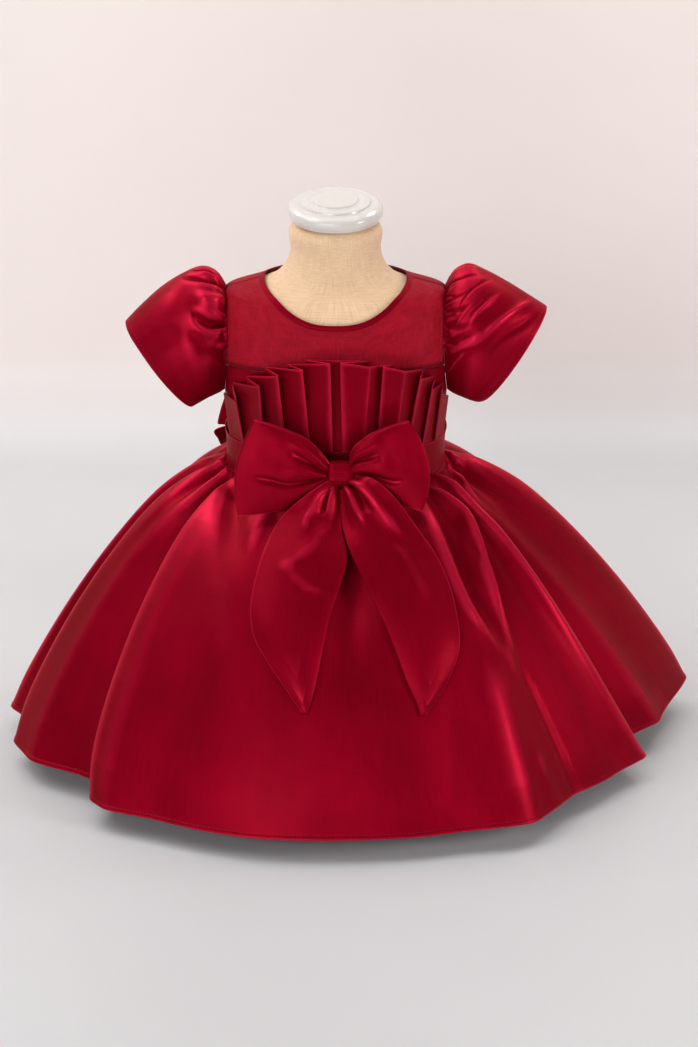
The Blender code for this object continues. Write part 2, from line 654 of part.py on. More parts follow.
def build_fan():
    foot = BAND_TOP + FAN_FOOT
    rows = []
    for row in range(FAN_ROWS):
        rise = row / (FAN_ROWS - 1)
        line = []
        for across, depth, height, girth, out in FAN_FOLDS:
            low = at_girth(foot, girth, out)
            high = np.array((across, depth, height), float)
            line.append(lerp(low, high, rise))
        rows.append(rounded_folds(line, FOLD_WIDTH))
    sheet("fan_ruffle", rows, SATIN, wall=FAN_CLOTH, side=0.0)


# ---------------------------------------------------------------- skirt


def polar_waist(angle, out):
    """The point of the waist that lies in a direction from the middle."""
    height = BAND_FOOT - SEAM_GAP
    _, points, _ = girth_line(height)
    turns = np.unwrap(np.arctan2(points[:, 0], -points[:, 1]))
    radius = np.interp(angle, turns, np.linalg.norm(points, axis=1)) + out
    return radius * math.sin(angle), -radius * math.cos(angle), height


@functools.lru_cache(maxsize=None)
def hem_line():
    """The hem as closely spaced spots: angle, radius, height, waist angle, swing,
    sinking, and the cloth's length so far."""
    folds = np.array(SKIRT_FOLDS, float)
    turn = np.array((360, 0, 0, 360, 0, 0))
    wrapped = np.vstack((folds[-1] - turn, folds, folds[0] + turn))
    angles = np.linspace(-180, 180, HEM_SPOTS + 1)
    spot = np.clip(np.searchsorted(wrapped[:, 0], angles) - 1, 0, len(wrapped) - 2)
    low, high = wrapped[spot], wrapped[spot + 1]
    share = (angles - low[:, 0]) / (high[:, 0] - low[:, 0])
    eased = share * share * (3 - 2 * share)
    crest = np.where(low[:, 1] > high[:, 1], share, 1 - share)
    radius = np.maximum(low[:, 1], high[:, 1]) - abs(high[:, 1] - low[:, 1]) * np.sin(
        crest * math.pi / 2) ** FOLD_POWER
    reach = np.arange(-HEM_SOFT, HEM_SOFT + 1)
    soft = np.exp(-(reach * 360 / HEM_SPOTS / FOLD_ROUNDING) ** 2)
    around = np.concatenate((radius[-HEM_SOFT - 1:-1], radius, radius[1:HEM_SOFT + 1]))
    radius = np.convolve(around, soft / soft.sum(), "valid")
    height, sunk = (lerp(low[:, k], high[:, k], eased) for k in (2, 5))
    waist, swing = (lerp(low[:, k], high[:, k], share) for k in (3, 4))
    angles, waist, swing = np.radians(angles), np.radians(waist), np.radians(swing)
    spots = np.column_stack((radius * np.sin(angles), -radius * np.cos(angles)))
    steps = np.linalg.norm(np.diff(spots, axis=0), axis=1)
    lengths = np.concatenate(([0], np.cumsum(steps)))
    return angles, radius, height, waist, swing, sunk, lengths


def skirt_line(share):
    """Spread and fall at a share of the way down, and the way the cloth faces."""
    table = [(k / (len(SKIRT_LINE) - 1), *row) for k, row in enumerate(SKIRT_LINE)]
    spread, fall = smooth(table, share)
    ahead = smooth(table, min(share + 0.01, 1)) - smooth(table, max(share - 0.01, 0))
    return spread, fall, ahead


def swag(angle, share, away):
    """The hanging fold beside the bow, deep inside and raised along its rim."""
    if not SWAG[0][0] < share < SWAG[-1][0]:
        return 0.0
    left, right, depth, rim = smooth(SWAG, share)
    middle, half = (left + right) / 2, (right - left) / 2
    across = min(abs(angle - middle) / max(half, 0.05), 1)
    edge = math.radians(abs(angle - middle) - half) * away / SWAG_RIM
    return rim * math.exp(-edge * edge) - depth * (1 - across * across * (3 - 2 * across))


def skirt_point(length, share, gather=0.0):
    """A point of the skirt by the cloth's length round the hem and share down."""
    *columns, lengths = hem_line()
    hem_turn, hem_radius, hem_height, waist_turn, swing, sunk = (
        float(np.interp(length, lengths, column)) for column in columns)
    x0, y0, z0 = polar_waist(waist_turn, SKIRT_STAND)
    x1, y1 = hem_radius * math.sin(hem_turn), -hem_radius * math.cos(hem_turn)
    spread, fall, ahead = skirt_line(share)
    run, drop = math.hypot(x1 - x0, y1 - y0), z0 - hem_height
    slope = math.hypot(ahead[0] * run, ahead[1] * drop)
    outward, upward = ahead[1] * drop / slope, ahead[0] * run / slope
    x, y = lerp(x0, x1, spread), lerp(y0, y1, spread)
    rise = math.sin(math.pi / 2 * min(share / GATHER_FULL, 1) ** 0.6)
    lift = gather * GATHER_DEPTH * rise * max(0.0, 1 - share / GATHER_END) ** 1.5
    lift -= sunk * 4 * (math.sqrt(max(spread, 0)) - spread)
    angle, away = math.degrees(hem_turn), math.hypot(x, y)
    lift += crease_lift(SKIRT_CREASES, angle, share, math.radians(away))
    lift += swag(angle, share, away)
    x, y = x + (x1 - x0) / run * outward * lift, y + (y1 - y0) / run * outward * lift
    turn = swing * 4 * share * (1 - share)
    return np.array((x * math.cos(turn) - y * math.sin(turn),
                     x * math.sin(turn) + y * math.cos(turn),
                     z0 - drop * fall + upward * lift))


def length_at(degrees):
    """The cloth's length round the hem to an angle."""
    spots = hem_line()
    return float(np.interp(math.radians(degrees), spots[0], spots[-1]))


def skirt_panel(name, start, end):
    """A panel of the skirt between two seams, given as hem angles in degrees."""
    first, last = length_at(start), length_at(end)
    whole = hem_line()[-1][-1]
    columns = 2 * round(WAIST_GATHERS * (last - first) / whole)
    rows = []
    for share in reversed(SKIRT_ROWS):
        line = []
        for column in range(columns + 1):
            gather = 1 if column % 2 else -0.5
            length = lerp(first, last, column / columns)
            line.append(skirt_point(length, share, gather))
        rows.append(line)
    sheet(name, trim_ends(rows, SEAM_GAP), SATIN)


def build_skirt():
    skirt_panel("skirt_back_left", -180, LEFT_SEAM)
    skirt_panel("skirt_front", LEFT_SEAM, RIGHT_SEAM)
    skirt_panel("skirt_back_right", RIGHT_SEAM, 180)


# ---------------------------------------------------------------- sleeves


def sleeve_ring(lines, share, turn):
    """A point of the sleeve's own tube: turn 0 is its top and +90 degrees its front."""
    top_x, top_z, under_x, under_z, depth = smooth(lines, share)
    middle = np.array(((top_x + under_x) / 2, 0, (top_z + under_z) / 2))
    half = np.array(((top_x - under_x) / 2, 0, (top_z - under_z) / 2))
    return middle + half * math.cos(turn) - np.array((0, depth * math.sin(turn), 0))


def sleeve_point(lines, share, turn):
    """The tube drawn in to the armhole at its upper end."""
    start = armhole_point(turn) + np.array((SLEEVE_SEAM, 0, 0))
    pull = start - sleeve_ring(lines, 0, turn)
    return sleeve_ring(lines, share, turn) + pull * (1 - share) ** 4


def gathered(lines, creases, share, turn, depth):
    """A point of the sleeve, moved in or out of the tube by its gathers and creases."""
    point = sleeve_point(lines, share, turn)
    middle = (sleeve_point(lines, share, 0) + sleeve_point(lines, share, math.pi)) / 2
    radius = np.linalg.norm(point - middle)
    lift = depth * max(math.sin(math.pi * min(share / HEAD_GATHER_END, 1)), 0)
    lift += crease_lift(creases, math.degrees(turn), share, math.radians(radius))
    return point + (point - middle) / radius * lift


def build_sleeve(name, lines, creases, side):
    head = 2 * HEAD_GATHERS
    rest = SLEEVE_COLUMNS - head
    turns = list(np.linspace(-HEAD_REACH, HEAD_REACH, head + 1))
    turns += list(np.linspace(HEAD_REACH, 2 * math.pi - HEAD_REACH, rest + 1))[1:-1]
    depths = [HEAD_GATHER_DEPTH * (-1 if k % 2 else 0.4) for k in range(head + 1)]
    depths += [0.0] * (rest - 1)
    rows = []
    for share in SLEEVE_SHARES:
        line = [gathered(lines, creases, share, turn, depth) * np.array((side, 1, 1))
                for turn, depth in zip(turns, depths)]
        rows.append(line if side > 0 else line[::-1])
    sheet(name, rows, SATIN, closed=True)


# ---------------------------------------------------------------- bows


def bow_loop(name, top, foot, bulge, fullness, facing, creases):
    # share of the way out, layer (1 outer, -1 rear), turn round the fold
    path = [(share, 1.0, 0.0) for share in LOOP_SHARES]
    path += [(1.0, math.cos(a), math.sin(a)) for a in np.linspace(0, math.pi, FOLD_STEPS + 1)]
    path += [(share, -1.0, 0.0) for share in reversed(LOOP_SHARES)]
    outward = math.copysign(1, foot[-1][1] - foot[0][1])
    rows = []
    for rise in np.linspace(0, 1, LOOP_ROWS + 1):
        inside = 4 * rise * (1 - rise)
        line = []
        for share, layer, turn in path:
            high, low = smooth(top, share), smooth(foot, share)
            crown = fullness * math.sin(math.pi * share) * inside ** 0.6
            half = LOOP_GAP + crown * (1 if layer > 0 else REAR_SHARE)
            if layer > 0:
                tall = np.linalg.norm(high - low)
                half += crease_lift(creases, rise, share, tall) * min(1, share / CREASE_START)
            point = lerp(low, high, rise)
            point[0] += outward * (bulge * inside * share ** 1.5 + LOOP_GAP * turn)
            point[1] += facing * layer * half
            line.append(point)
        rows.append(line)
    sheet(name, rows[::-1] if outward * facing > 0 else rows, SATIN)


def bow_knot(name, centre, size):
    shape = bmesh.new()
    bmesh.ops.create_cube(shape, size=1)
    bmesh.ops.scale(shape, vec=np.array(size) * MM, verts=shape.verts)
    bmesh.ops.translate(shape, vec=np.array(centre) * MM, verts=shape.verts)
    mesh = bpy.data.meshes.new(name)
    shape.to_mesh(mesh)
    shape.free()
    item = add_object(name, mesh, SATIN)
    rounding = item.modifiers.new("rounding", "BEVEL")
    rounding.width = KNOT_ROUNDING * min(size) * MM
    rounding.segments = KNOT_SEGMENTS
    rounding.limit_method = "NONE"


def bow_tail(name, edges, creases, facing):
    """A tail that falls from under the knot and lies over the skirt."""
    table = [(k / (len(edges) - 1), *outer, *inner) for k, (outer, inner) in enumerate(edges)]
    rows = []
    for share in np.linspace(0, 1, TAIL_STEPS + 1):
        here, before, after = (smooth(table, np.clip(share + step, 0, 1))
                               for step in (0, -TAIL_REACH, TAIL_REACH))
        outer, inner = here[:3], here[3:]
        line = []
        for across in np.linspace(0, 1, TAIL_COLUMNS + 1):
            down = lerp(after[:3], after[3:], across) - lerp(before[:3], before[3:], across)
            way = np.cross(inner - outer, down)
            way *= math.copysign(1, way[1] * facing) / np.linalg.norm(way)
            middle = math.sin(math.pi * across)
            lift = TAIL_CROWN * middle ** 0.8 * math.sin(math.pi * share) ** 0.6
            breadth = np.linalg.norm(inner - outer)
            lift += crease_lift(creases, across, share, breadth) * middle
            line.append(lerp(outer, inner, across) + way * lift)
        rows.append(line)
    rows = np.array(rows)
    if (edges[0][0][0] > edges[0][1][0]) != (facing > 0):
        rows = rows[:, ::-1]
    sheet(name, rows[::-1], SATIN, side=0.0)


def build_bows():
    for name, row in BOW_LOOPS.items():
        bow_loop(name, *row)
    for row in BOW_KNOTS:
        bow_knot(*row)
    for row in BOW_TAILS:
        bow_tail(*row)


# ---------------------------------------------------------------- dress form


def turned(name, profile, finish, steps=40, tilt=0.0, place=(0, 0, 0)):
    """A turned solid from a profile of (radius, height) that runs down its side."""
    mesh = bpy.data.meshes.new(name)
    points = [(radius * MM, 0, height * MM) for radius, height in profile]
    mesh.from_pydata(points, [(k, k + 1) for k in range(len(points) - 1)], [])
    item = add_object(name, mesh, finish)
    item.rotation_euler.x = tilt
    item.location = [p * MM for p in place]
    turning = item.modifiers.new("turning", "SCREW")
    turning.steps = turning.render_steps = steps
    turning.use_merge_vertices = True
    turning.merge_threshold = 0.00001
    turning.use_smooth_shade = True
    return item


def build_torso():
    shape = bmesh.new()
    rings = []
    for height, inset, shoulder in FORM_SECTIONS:
        sunk = np.array((0, 0, FORM_SINK if height > SHOULDER_START else 0.0))
        ring = []
        for angle in np.linspace(-math.pi, math.pi, FORM_COLUMNS, endpoint=False):
            spread = 3 if math.cos(angle) > 0 else 1.2
            inward = inset + shoulder * abs(math.sin(angle)) ** spread
            ring.append(shape.verts.new((body_point(height, angle, -inward) - sunk) * MM))
        rings.append(ring)
    for lower, upper in zip(rings, rings[1:]):
        for k in range(FORM_COLUMNS):
            after = (k + 1) % FORM_COLUMNS
            shape.faces.new((lower[k], lower[after], upper[after], upper[k]))
    shape.faces.new(rings[0][::-1])
    shape.faces.new(rings[-1])
    mesh = bpy.data.meshes.new("form_body")
    shape.to_mesh(mesh)
    shape.free()
    mesh.shade_smooth()
    add_object("form_body", mesh, material("linen", LINEN, 0.9))


def build_stand():
    white = material("cap white", CAP_WHITE, 0.2)
    steel = material("steel", STEEL, 0.3, 1.0)
    turned("neck_cap", CAP_PROFILE, white, CAP_STEPS, CAP_TILT, (0, 0, CAP_SEAT))
    turned("stand_pole", POLE_PROFILE, steel, POLE_STEPS)
    turned("stand_base", BASE_PROFILE, white, BASE_STEPS)


# ---------------------------------------------------------------- assembly

clear_scene()
DRESS = bpy.data.collections.new("toddler_party_dress")
bpy.context.scene.collection.children.link(DRESS)
SATIN = material("satin", SATIN_RED, 0.35)
build_torso()
build_stand()
build_bodice()
build_neck_binding()
build_waistband()
build_fan()
build_skirt()
build_sleeve("sleeve_left", LEFT_SLEEVE, LEFT_SLEEVE_CREASES, -1)
build_sleeve("sleeve_right", RIGHT_SLEEVE, RIGHT_SLEEVE_CREASES, 1)
build_bows()
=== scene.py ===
"""Toddler party dress on a limbless dress form: its looks.

The dress and its form are measured in millimetres, which MM turns into metres, and the
camera and the room in metres. -Y is the front of the dress, +Z is up, and left and
right are as seen from the front.
"""
import math

import bmesh
import bpy
import numpy as np
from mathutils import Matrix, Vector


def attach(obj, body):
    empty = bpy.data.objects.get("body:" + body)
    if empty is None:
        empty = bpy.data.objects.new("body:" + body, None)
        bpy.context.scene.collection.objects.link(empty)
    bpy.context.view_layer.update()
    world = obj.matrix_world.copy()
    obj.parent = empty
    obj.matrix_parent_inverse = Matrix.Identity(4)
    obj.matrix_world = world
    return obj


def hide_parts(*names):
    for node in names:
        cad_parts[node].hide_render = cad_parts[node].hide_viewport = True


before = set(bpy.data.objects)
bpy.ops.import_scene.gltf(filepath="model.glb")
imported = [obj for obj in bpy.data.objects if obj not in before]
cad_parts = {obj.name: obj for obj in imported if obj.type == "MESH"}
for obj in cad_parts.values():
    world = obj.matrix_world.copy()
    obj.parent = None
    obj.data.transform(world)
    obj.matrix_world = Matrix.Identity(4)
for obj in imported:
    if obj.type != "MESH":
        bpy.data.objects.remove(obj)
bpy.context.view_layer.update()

# ------------------------------------------------------------------ camera and room
# A camera 2.7 m in front of the form and 1.26 m up looks down at the waist. The room
# is a pale floor that curves up into a wall painted on its near side only. Soft boxes
# light it from above and from all round.
MM = 0.001
CAMERA_PLACE = (0.0109, -2.7354, 1.2645)
CAMERA_PITCH = math.radians(90 - 21.5)
FOCAL_PIXELS, PICTURE_HEIGHT, SENSOR = 3500, 1047, 36
FLOOR_COLOUR = (0.61, 0.622, 0.636)
WALL_COLOUR = (0.92, 0.85, 0.82)
ROOM_WIDTH, ROOM_FRONT, WALL_FOOT, WALL_CURVE, WALL_HEIGHT = 24.0, -12.0, 0.62, 0.10, 3.2
CURVE_STEPS = 13
# how dark and how light the paint is in patches, and the patches to a metre
PAINT_PATCHES, PATCH_SCALE = (0.96, 1.03), 2.2
WORLD_COLOUR, WORLD_STRENGTH = (1.0, 0.985, 0.98), 0.14
# name, place, aim, width, height, watts, colour
SOFT_BOXES = (
    ("key", (-1.5, -0.1, 2.5), (0, 0, 0.2), 1.5, 1.5, 20, (1.0, 0.985, 0.98)),
    ("front", (-1.2, -3.2, 1.5), (0, 0, 0.25), 2.0, 1.0, 34, (1.0, 0.985, 0.985)),
    ("floor_glow", (-0.6, -1.75, 0.03), (-0.05, 0, 0.35), 2.2, 0.9, 15, (1.0, 0.98, 0.98)),
    ("window_left", (-1.72, -0.88, 1.89), (0, 0, 0.15), 0.9, 0.6, 5, (1.0, 0.985, 0.98)),
    ("window_right", (1.78, -1.0, 0.8), (0.1, -0.1, 0.12), 0.6, 0.8, 14, (1.0, 0.94, 0.93)),
    ("back_right", (0.8, 0.56, 1.35), (0.1, 0, 0.15), 0.5, 0.4, 4, (1.0, 0.96, 0.95)),
    ("back_left", (-0.9, 0.56, 1.25), (-0.1, 0, 0.15), 0.5, 0.4, 3, (1.0, 0.97, 0.96)),
    ("ceiling", (0, 0.3, 3.0), (0, 0.2, 0), 3.0, 1.6, 25, (1.0, 0.985, 0.98)),
)


def add_camera():
    lens = bpy.data.cameras.new("camera")
    lens.sensor_width = SENSOR
    lens.lens = SENSOR * FOCAL_PIXELS / PICTURE_HEIGHT
    camera = bpy.data.objects.new("camera", lens)
    camera.location = CAMERA_PLACE
    camera.rotation_euler = (CAMERA_PITCH, 0, 0)
    bpy.context.scene.collection.objects.link(camera)
    bpy.context.scene.camera = camera


def add_soft_box(name, place, aim, width, height, watts, colour):
    box = bpy.data.lights.new(name, "AREA")
    box.shape = "RECTANGLE"
    box.size, box.size_y = width, height
    box.energy, box.color = watts, colour
    lamp = bpy.data.objects.new(name, box)
    lamp.location = place
    way = Vector(aim) - Vector(place)
    lamp.rotation_euler = way.to_track_quat("-Z", "Y").to_euler()
    bpy.context.scene.collection.objects.link(lamp)


def link_mesh(name, shape):
    """Turn a finished bmesh into an object at the origin."""
    mesh = bpy.data.meshes.new(name)
    shape.to_mesh(mesh)
    shape.free()
    mesh.shade_smooth()
    piece = bpy.data.objects.new(name, mesh)
    bpy.context.scene.collection.objects.link(piece)
    return piece


def new_material(name):
    made = bpy.data.materials.new(name)
    made.use_nodes = True
    return made, made.node_tree, made.node_tree.nodes["Principled BSDF"]


def fill(tree, made, inputs):
    """Fill a node's sockets: an output is linked, and anything else is set."""
    for socket, value in inputs:
        if isinstance(value, bpy.types.NodeSocket):
            tree.links.new(value, made.inputs[socket])
        else:
            made.inputs[socket].default_value = value


def node(tree, kind, *inputs, out=0, **settings):
    """The output of a new shader node. inputs are pairs of socket and value."""
    made = tree.nodes.new("ShaderNode" + kind)
    for key, value in settings.items():
        setattr(made, key, value)
    fill(tree, made, inputs)
    return made.outputs[out]


def stretched(tree, place, scale):
    return node(tree, "Mapping", ("Vector", place), ("Scale", scale))


def noise(tree, place, scale, detail, *more):
    return node(tree, "TexNoise", ("Vector", place), ("Scale", scale), ("Detail", detail), *more)


def remap(tree, value, low, high, start=0.0, end=1.0):
    return node(tree, "MapRange", (0, value), (1, low), (2, high), (3, start), (4, end))


def maths(tree, operation, *values):
    return node(tree, "Math", *enumerate(values), operation=operation)


def blend(tree, share, first, second, mode="MIX"):
    """Two colours mixed. Each is red, green and blue, or an output."""
    first, second = ((*tone, 1) if isinstance(tone, tuple) else tone for tone in (first, second))
    return node(tree, "Mix", (0, share), (6, first), (7, second), out=2, data_type="RGBA",
                blend_type=mode)


def bump(tree, height, strength, distance, *more):
    return node(tree, "Bump", ("Height", height), ("Strength", strength),
                ("Distance", distance), *more)


def make_room_paint():
    made, tree, shader = new_material("room paint")
    spot = node(tree, "TexCoord", out="Object")
    height = node(tree, "SeparateXYZ", (0, spot), out="Z")
    shade = blend(tree, remap(tree, height, 0.0, WALL_CURVE), FLOOR_COLOUR, WALL_COLOUR)
    worn = remap(tree, noise(tree, spot, PATCH_SCALE, 4.0), 0.3, 0.7, *PAINT_PATCHES)
    fill(tree, shader, [("Base Color", blend(tree, 1.0, shade, worn, "MULTIPLY")),
                        ("Roughness", 0.45)])
    # the wall's far side is open, so the dress shows from behind as well
    open_wall = node(tree, "MixShader", (0, node(tree, "NewGeometry", out="Backfacing")),
                     (1, shader.outputs[0]), (2, node(tree, "BsdfTransparent")))
    tree.links.new(open_wall, tree.nodes["Material Output"].inputs["Surface"])
    return made


def add_room():
    shape = bmesh.new()
    profile = [(ROOM_FRONT, 0.0)]
    profile += [(WALL_FOOT + WALL_CURVE * math.sin(turn), WALL_CURVE * (1 - math.cos(turn)))
                for turn in np.linspace(0, math.pi / 2, CURVE_STEPS)]
    profile += [(WALL_FOOT + WALL_CURVE, WALL_HEIGHT)]
    edge = [shape.verts.new((-ROOM_WIDTH / 2, y, z)) for y, z in profile]
    line = [shape.edges.new(pair) for pair in zip(edge, edge[1:])]
    swept = bmesh.ops.extrude_edge_only(shape, edges=line)
    moved = [item for item in swept["geom"] if isinstance(item, bmesh.types.BMVert)]
    bmesh.ops.translate(shape, verts=moved, vec=(ROOM_WIDTH, 0, 0))
    # the floor goes on behind the wall
    corners = [(side * ROOM_WIDTH / 2, y, 0) for side, y in
               ((-1, WALL_FOOT), (1, WALL_FOOT), (1, -ROOM_FRONT), (-1, -ROOM_FRONT))]
    shape.faces.new([shape.verts.new(corner) for corner in corners])
    shape.normal_update()
    wrong = [face for face in shape.faces if face.normal.z - face.normal.y < 0]
    bmesh.ops.reverse_faces(shape, faces=wrong)
    room = link_mesh("room", shape)
    room.data.materials.append(make_room_paint())


def light_world():
    world = bpy.data.worlds.new("studio")
    world.use_nodes = True
    sky = world.node_tree.nodes["Background"]
    sky.inputs["Color"].default_value = (*WORLD_COLOUR, 1)
    sky.inputs["Strength"].default_value = WORLD_STRENGTH
    bpy.context.scene.world = world
    bpy.context.scene.view_settings.view_transform = "Standard"


add_camera()
for row in SOFT_BOXES:
    add_soft_box(*row)
add_room()
light_world()

# ------------------------------------------------------------------ dress form
# The padded torso is covered in natural linen, drawn smooth over the shoulders and
# up the neck. A turned, white lacquered cap closes the neck, and a steel pole stands
# in a white round base under the skirt.

# the outer line of the bodice and neck: height, half width, front depth, back depth,
# roundness
BODY_SECTIONS = (
    (188, 87.0, 65.0, 63.0, 2.3),
    (246, 90.0, 67.0, 62.0, 2.4),
    (276, 90.0, 67.5, 61.0, 2.4),
    (308, 91.5, 66.0, 60.0, 2.6),
    (340, 92.0, 62.5, 58.0, 2.9),
    (365, 92.0, 57.0, 54.5, 2.9),
    (380, 91.7, 52.0, 50.0, 2.7),
    (390, 90.6, 47.5, 46.0, 2.4),
    (396, 89.0, 44.0, 43.0, 2.2),
    (401, 73.0, 41.5, 42.0, 2.0),
    (405.5, 57.5, 40.0, 41.0, 2.0),
    (412, 47.5, 38.6, 40.0, 2.0),
    (421, 41.5, 37.8, 39.0, 2.0),
    (435, 38.6, 37.2, 38.0, 2.0),
    (452, 38.2, 37.6, 38.2, 2.0),
)
# height, how far inside that line, more of that at the shoulder ends, sunk
FORM_SECTIONS = (
    (190, 8.0, 0.0, 0.0), (193, 3.8, 0.0, 0.0), (205, 2.2, 0.0, 0.0),
    (230, 2.2, 0.0, 0.0), (300, 2.2, 0.0, 0.0), (335, 2.2, 0.0, 0.0),
    (360, 2.2, 2.2, 0.0), (376, 2.2, 5.6, 2.2), (386, 2.2, 6.4, 2.2),
    (391.5, 2.2, 5.6, 2.2), (395, 2.2, 4.4, 2.2), (398, 2.2, 3.0, 2.2),
    (401, 2.2, 1.6, 2.2), (405.5, 2.2, 0.4, 2.2), (411, 2.2, 0.0, 2.2),
    (419, 2.2, 0.0, 2.2), (431, 2.2, 0.0, 2.2), (450.6, 2.2, 0.0, 2.2),
    (452, 3.4, 0.0, 2.2),
)
FORM_COLUMNS, FORM_ROWS, FORM_CUT = 128, 150, (540, 280)
LINEN_COLOUR, LINEN_DARK = (0.96, 0.68, 0.43), (0.76, 0.51, 0.30)
# the threads' pitch, thick places to a thread, and the share of that along it
LINEN_PITCH, SLUB_SIZE, SLUB_DRAW = 0.62, 0.55, 0.06
# how far the shoulders' inset reaches round the form, in front and behind
SHOULDER_REACH = (3.0, 1.2)
# points closer than this, in metres, are joined
MERGE = 0.00001
CAP_COLOUR, CAP_SEAT, CAP_TILT = (0.68, 0.655, 0.62), 455.0, math.radians(6)
# radius, height, roundness of the corner
CAP_PROFILE = (
    (0, 15.6, 0), (18.0, 15.4, 0.5), (18.8, 14.0, 0.3), (20.0, 13.8, 0.3),
    (24.5, 14.4, 1.0), (28.0, 14.0, 0.4), (28.6, 12.2, 0.3), (30.0, 12.0, 0.3),
    (34.0, 12.4, 2.0), (38.7, 9.0, 3.0), (38.7, 4.0, 1.5), (37.0, 0.6, 0.4),
    (36.4, 0, 0.2), (0, 0, 0),
)
POLE_PROFILE = ((0, 189.6, 0), (10, 189.6, 1), (10, 12.0, 0.4), (0, 12.0, 0))
BASE_PROFILE = ((0, 11.6, 0), (96, 11.2, 4), (105, 7.5, 3), (105, 0, 1), (0, 0, 0))
TURNED_STEPS, ARC_STEPS = 128, 5
STEEL_COLOUR, BRUSH_LINES = (0.55, 0.55, 0.56), (300, 300, 2500)


def curve(rows, key):
    """The other columns of a table at values of its first, on a smooth curve."""
    table = np.asarray(rows, float)
    keys, values = table[:, 0], table[:, 1:]
    slopes = np.gradient(values, keys, axis=0)
    key = np.clip(np.asarray(key, float), keys[0], keys[-1])
    spot = np.clip(np.searchsorted(keys, key) - 1, 0, len(keys) - 2)
    span = (keys[spot + 1] - keys[spot])[..., None]
    t = (key[..., None] - keys[spot][..., None]) / span
    rise = t * t * (3 - 2 * t)
    start = span * slopes[spot] * (t ** 3 - 2 * t ** 2 + t)
    end = span * slopes[spot + 1] * (t ** 3 - t ** 2)
    return values[spot] + (values[spot + 1] - values[spot]) * rise + start + end


def columns_of(table):
    return np.moveaxis(table, -1, 0)


def lerp(a, b, t):
    return a + (b - a) * t


def ease(t):
    t = np.clip(t, 0, 1)
    return t * t * (3 - 2 * t)


def power_of(value, exponent):
    return np.copysign(np.abs(value) ** exponent, value)


def unit(vectors):
    return vectors / np.linalg.norm(vectors, axis=1, keepdims=True)


def corner(start, middle, end, steps):
    """Points on the arc that rounds off a corner."""
    return [start * (1 - t) ** 2 + middle * 2 * t * (1 - t) + end * t * t
            for t in np.linspace(0, 1, steps)]


def body_point(height, angle, out=0.0):
    """Points on the body line. Angle 0 is the front and +90 degrees is +X."""
    half, front, back, roundness = columns_of(curve(BODY_SECTIONS, height))
    sine, cosine = np.sin(angle), np.cos(angle)
    depth = np.where(cosine > 0, front, back)
    x = (half + out) * power_of(sine, 2 / roundness)
    y = -(depth + out) * power_of(cosine, 2 / roundness)
    return np.stack(np.broadcast_arrays(x, y, height), axis=-1)


def place_points(shape, points):
    for vert, point in zip(shape.verts, np.asarray(points) * MM):
        vert.co = point


def grid(across, along, cut):
    """A flat grid, with where each point lies on it as u and v from 0 to 1.

    across and along are the lines' places from 0 to 1. cut is its size, for UVs."""
    shape = bmesh.new()
    columns, rows = len(across) - 1, len(along) - 1
    bmesh.ops.create_grid(shape, x_segments=columns, y_segments=rows, size=0.5)
    shape.verts.ensure_lookup_table()
    spots = np.array([vert.co[:2] for vert in shape.verts]) + 0.5
    u = np.asarray(across)[np.rint(spots[:, 0] * columns).astype(int)]
    v = np.asarray(along)[np.rint(spots[:, 1] * rows).astype(int)]
    layer = shape.loops.layers.uv.new("thread")
    width, length = cut[0] * MM, cut[1] * MM
    for face in shape.faces:
        for loop in face.loops:
            index = loop.vert.index
            loop[layer].uv = (u[index] * width, v[index] * length)
    return shape, u, v


def even(count, edge=0.0):
    """count spaces from 0 to 1, with a narrow one of the given width at each end."""
    if edge == 0:
        return np.linspace(0, 1, count + 1)
    return np.concatenate(([0], np.linspace(edge, 1 - edge, count - 1), [1]))


def close_tube(shape):
    """Join a grid's two sides and close its two ends."""
    bmesh.ops.remove_doubles(shape, verts=shape.verts, dist=MERGE)
    rims = [edge for edge in shape.edges if edge.is_boundary]
    bmesh.ops.holes_fill(shape, edges=rims, sides=0)


def finish_piece(piece, finish, slot, *nodes):
    piece.data.materials.append(finish)
    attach(piece, "root")
    if nodes:
        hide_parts(*nodes)
    return piece


def make_linen():
    """Plain linen: a fine crossed weave with thicker, darker threads here and there."""
    made, tree, shader = new_material("linen")
    thread = node(tree, "UVMap", uv_map="thread")
    pitch = 1 / (LINEN_PITCH * MM)
    slubs = [noise(tree, stretched(tree, thread, [s * pitch * SLUB_SIZE for s in stretch]), 1.0,
                   2.0, ("Roughness", 0.6))
             for stretch in ((1.0, SLUB_DRAW, 1.0), (SLUB_DRAW, 1.0, 1.0))]
    mixed = maths(tree, "ADD", *slubs)
    summed = maths(tree, "MULTIPLY_ADD", noise(tree, thread, 24.0, 3.0), 0.35, mixed)
    shade = blend(tree, remap(tree, summed, 0.85, 1.45), LINEN_DARK, LINEN_COLOUR)
    weave = stretched(tree, thread, (pitch, pitch, 1))
    waves = [node(tree, "TexWave", ("Vector", weave), ("Scale", 0.31), ("Distortion", 0.6),
                  ("Detail", 1.0), out="Fac", bands_direction=way) for way in "XY"]
    rough = maths(tree, "ADD", maths(tree, "MAXIMUM", *waves), mixed)
    fill(tree, shader, [("Base Color", shade), ("Normal", bump(tree, rough, 0.5, 0.00025)),
                        ("Roughness", 0.85), ("Sheen Weight", 0.25)])
    return made


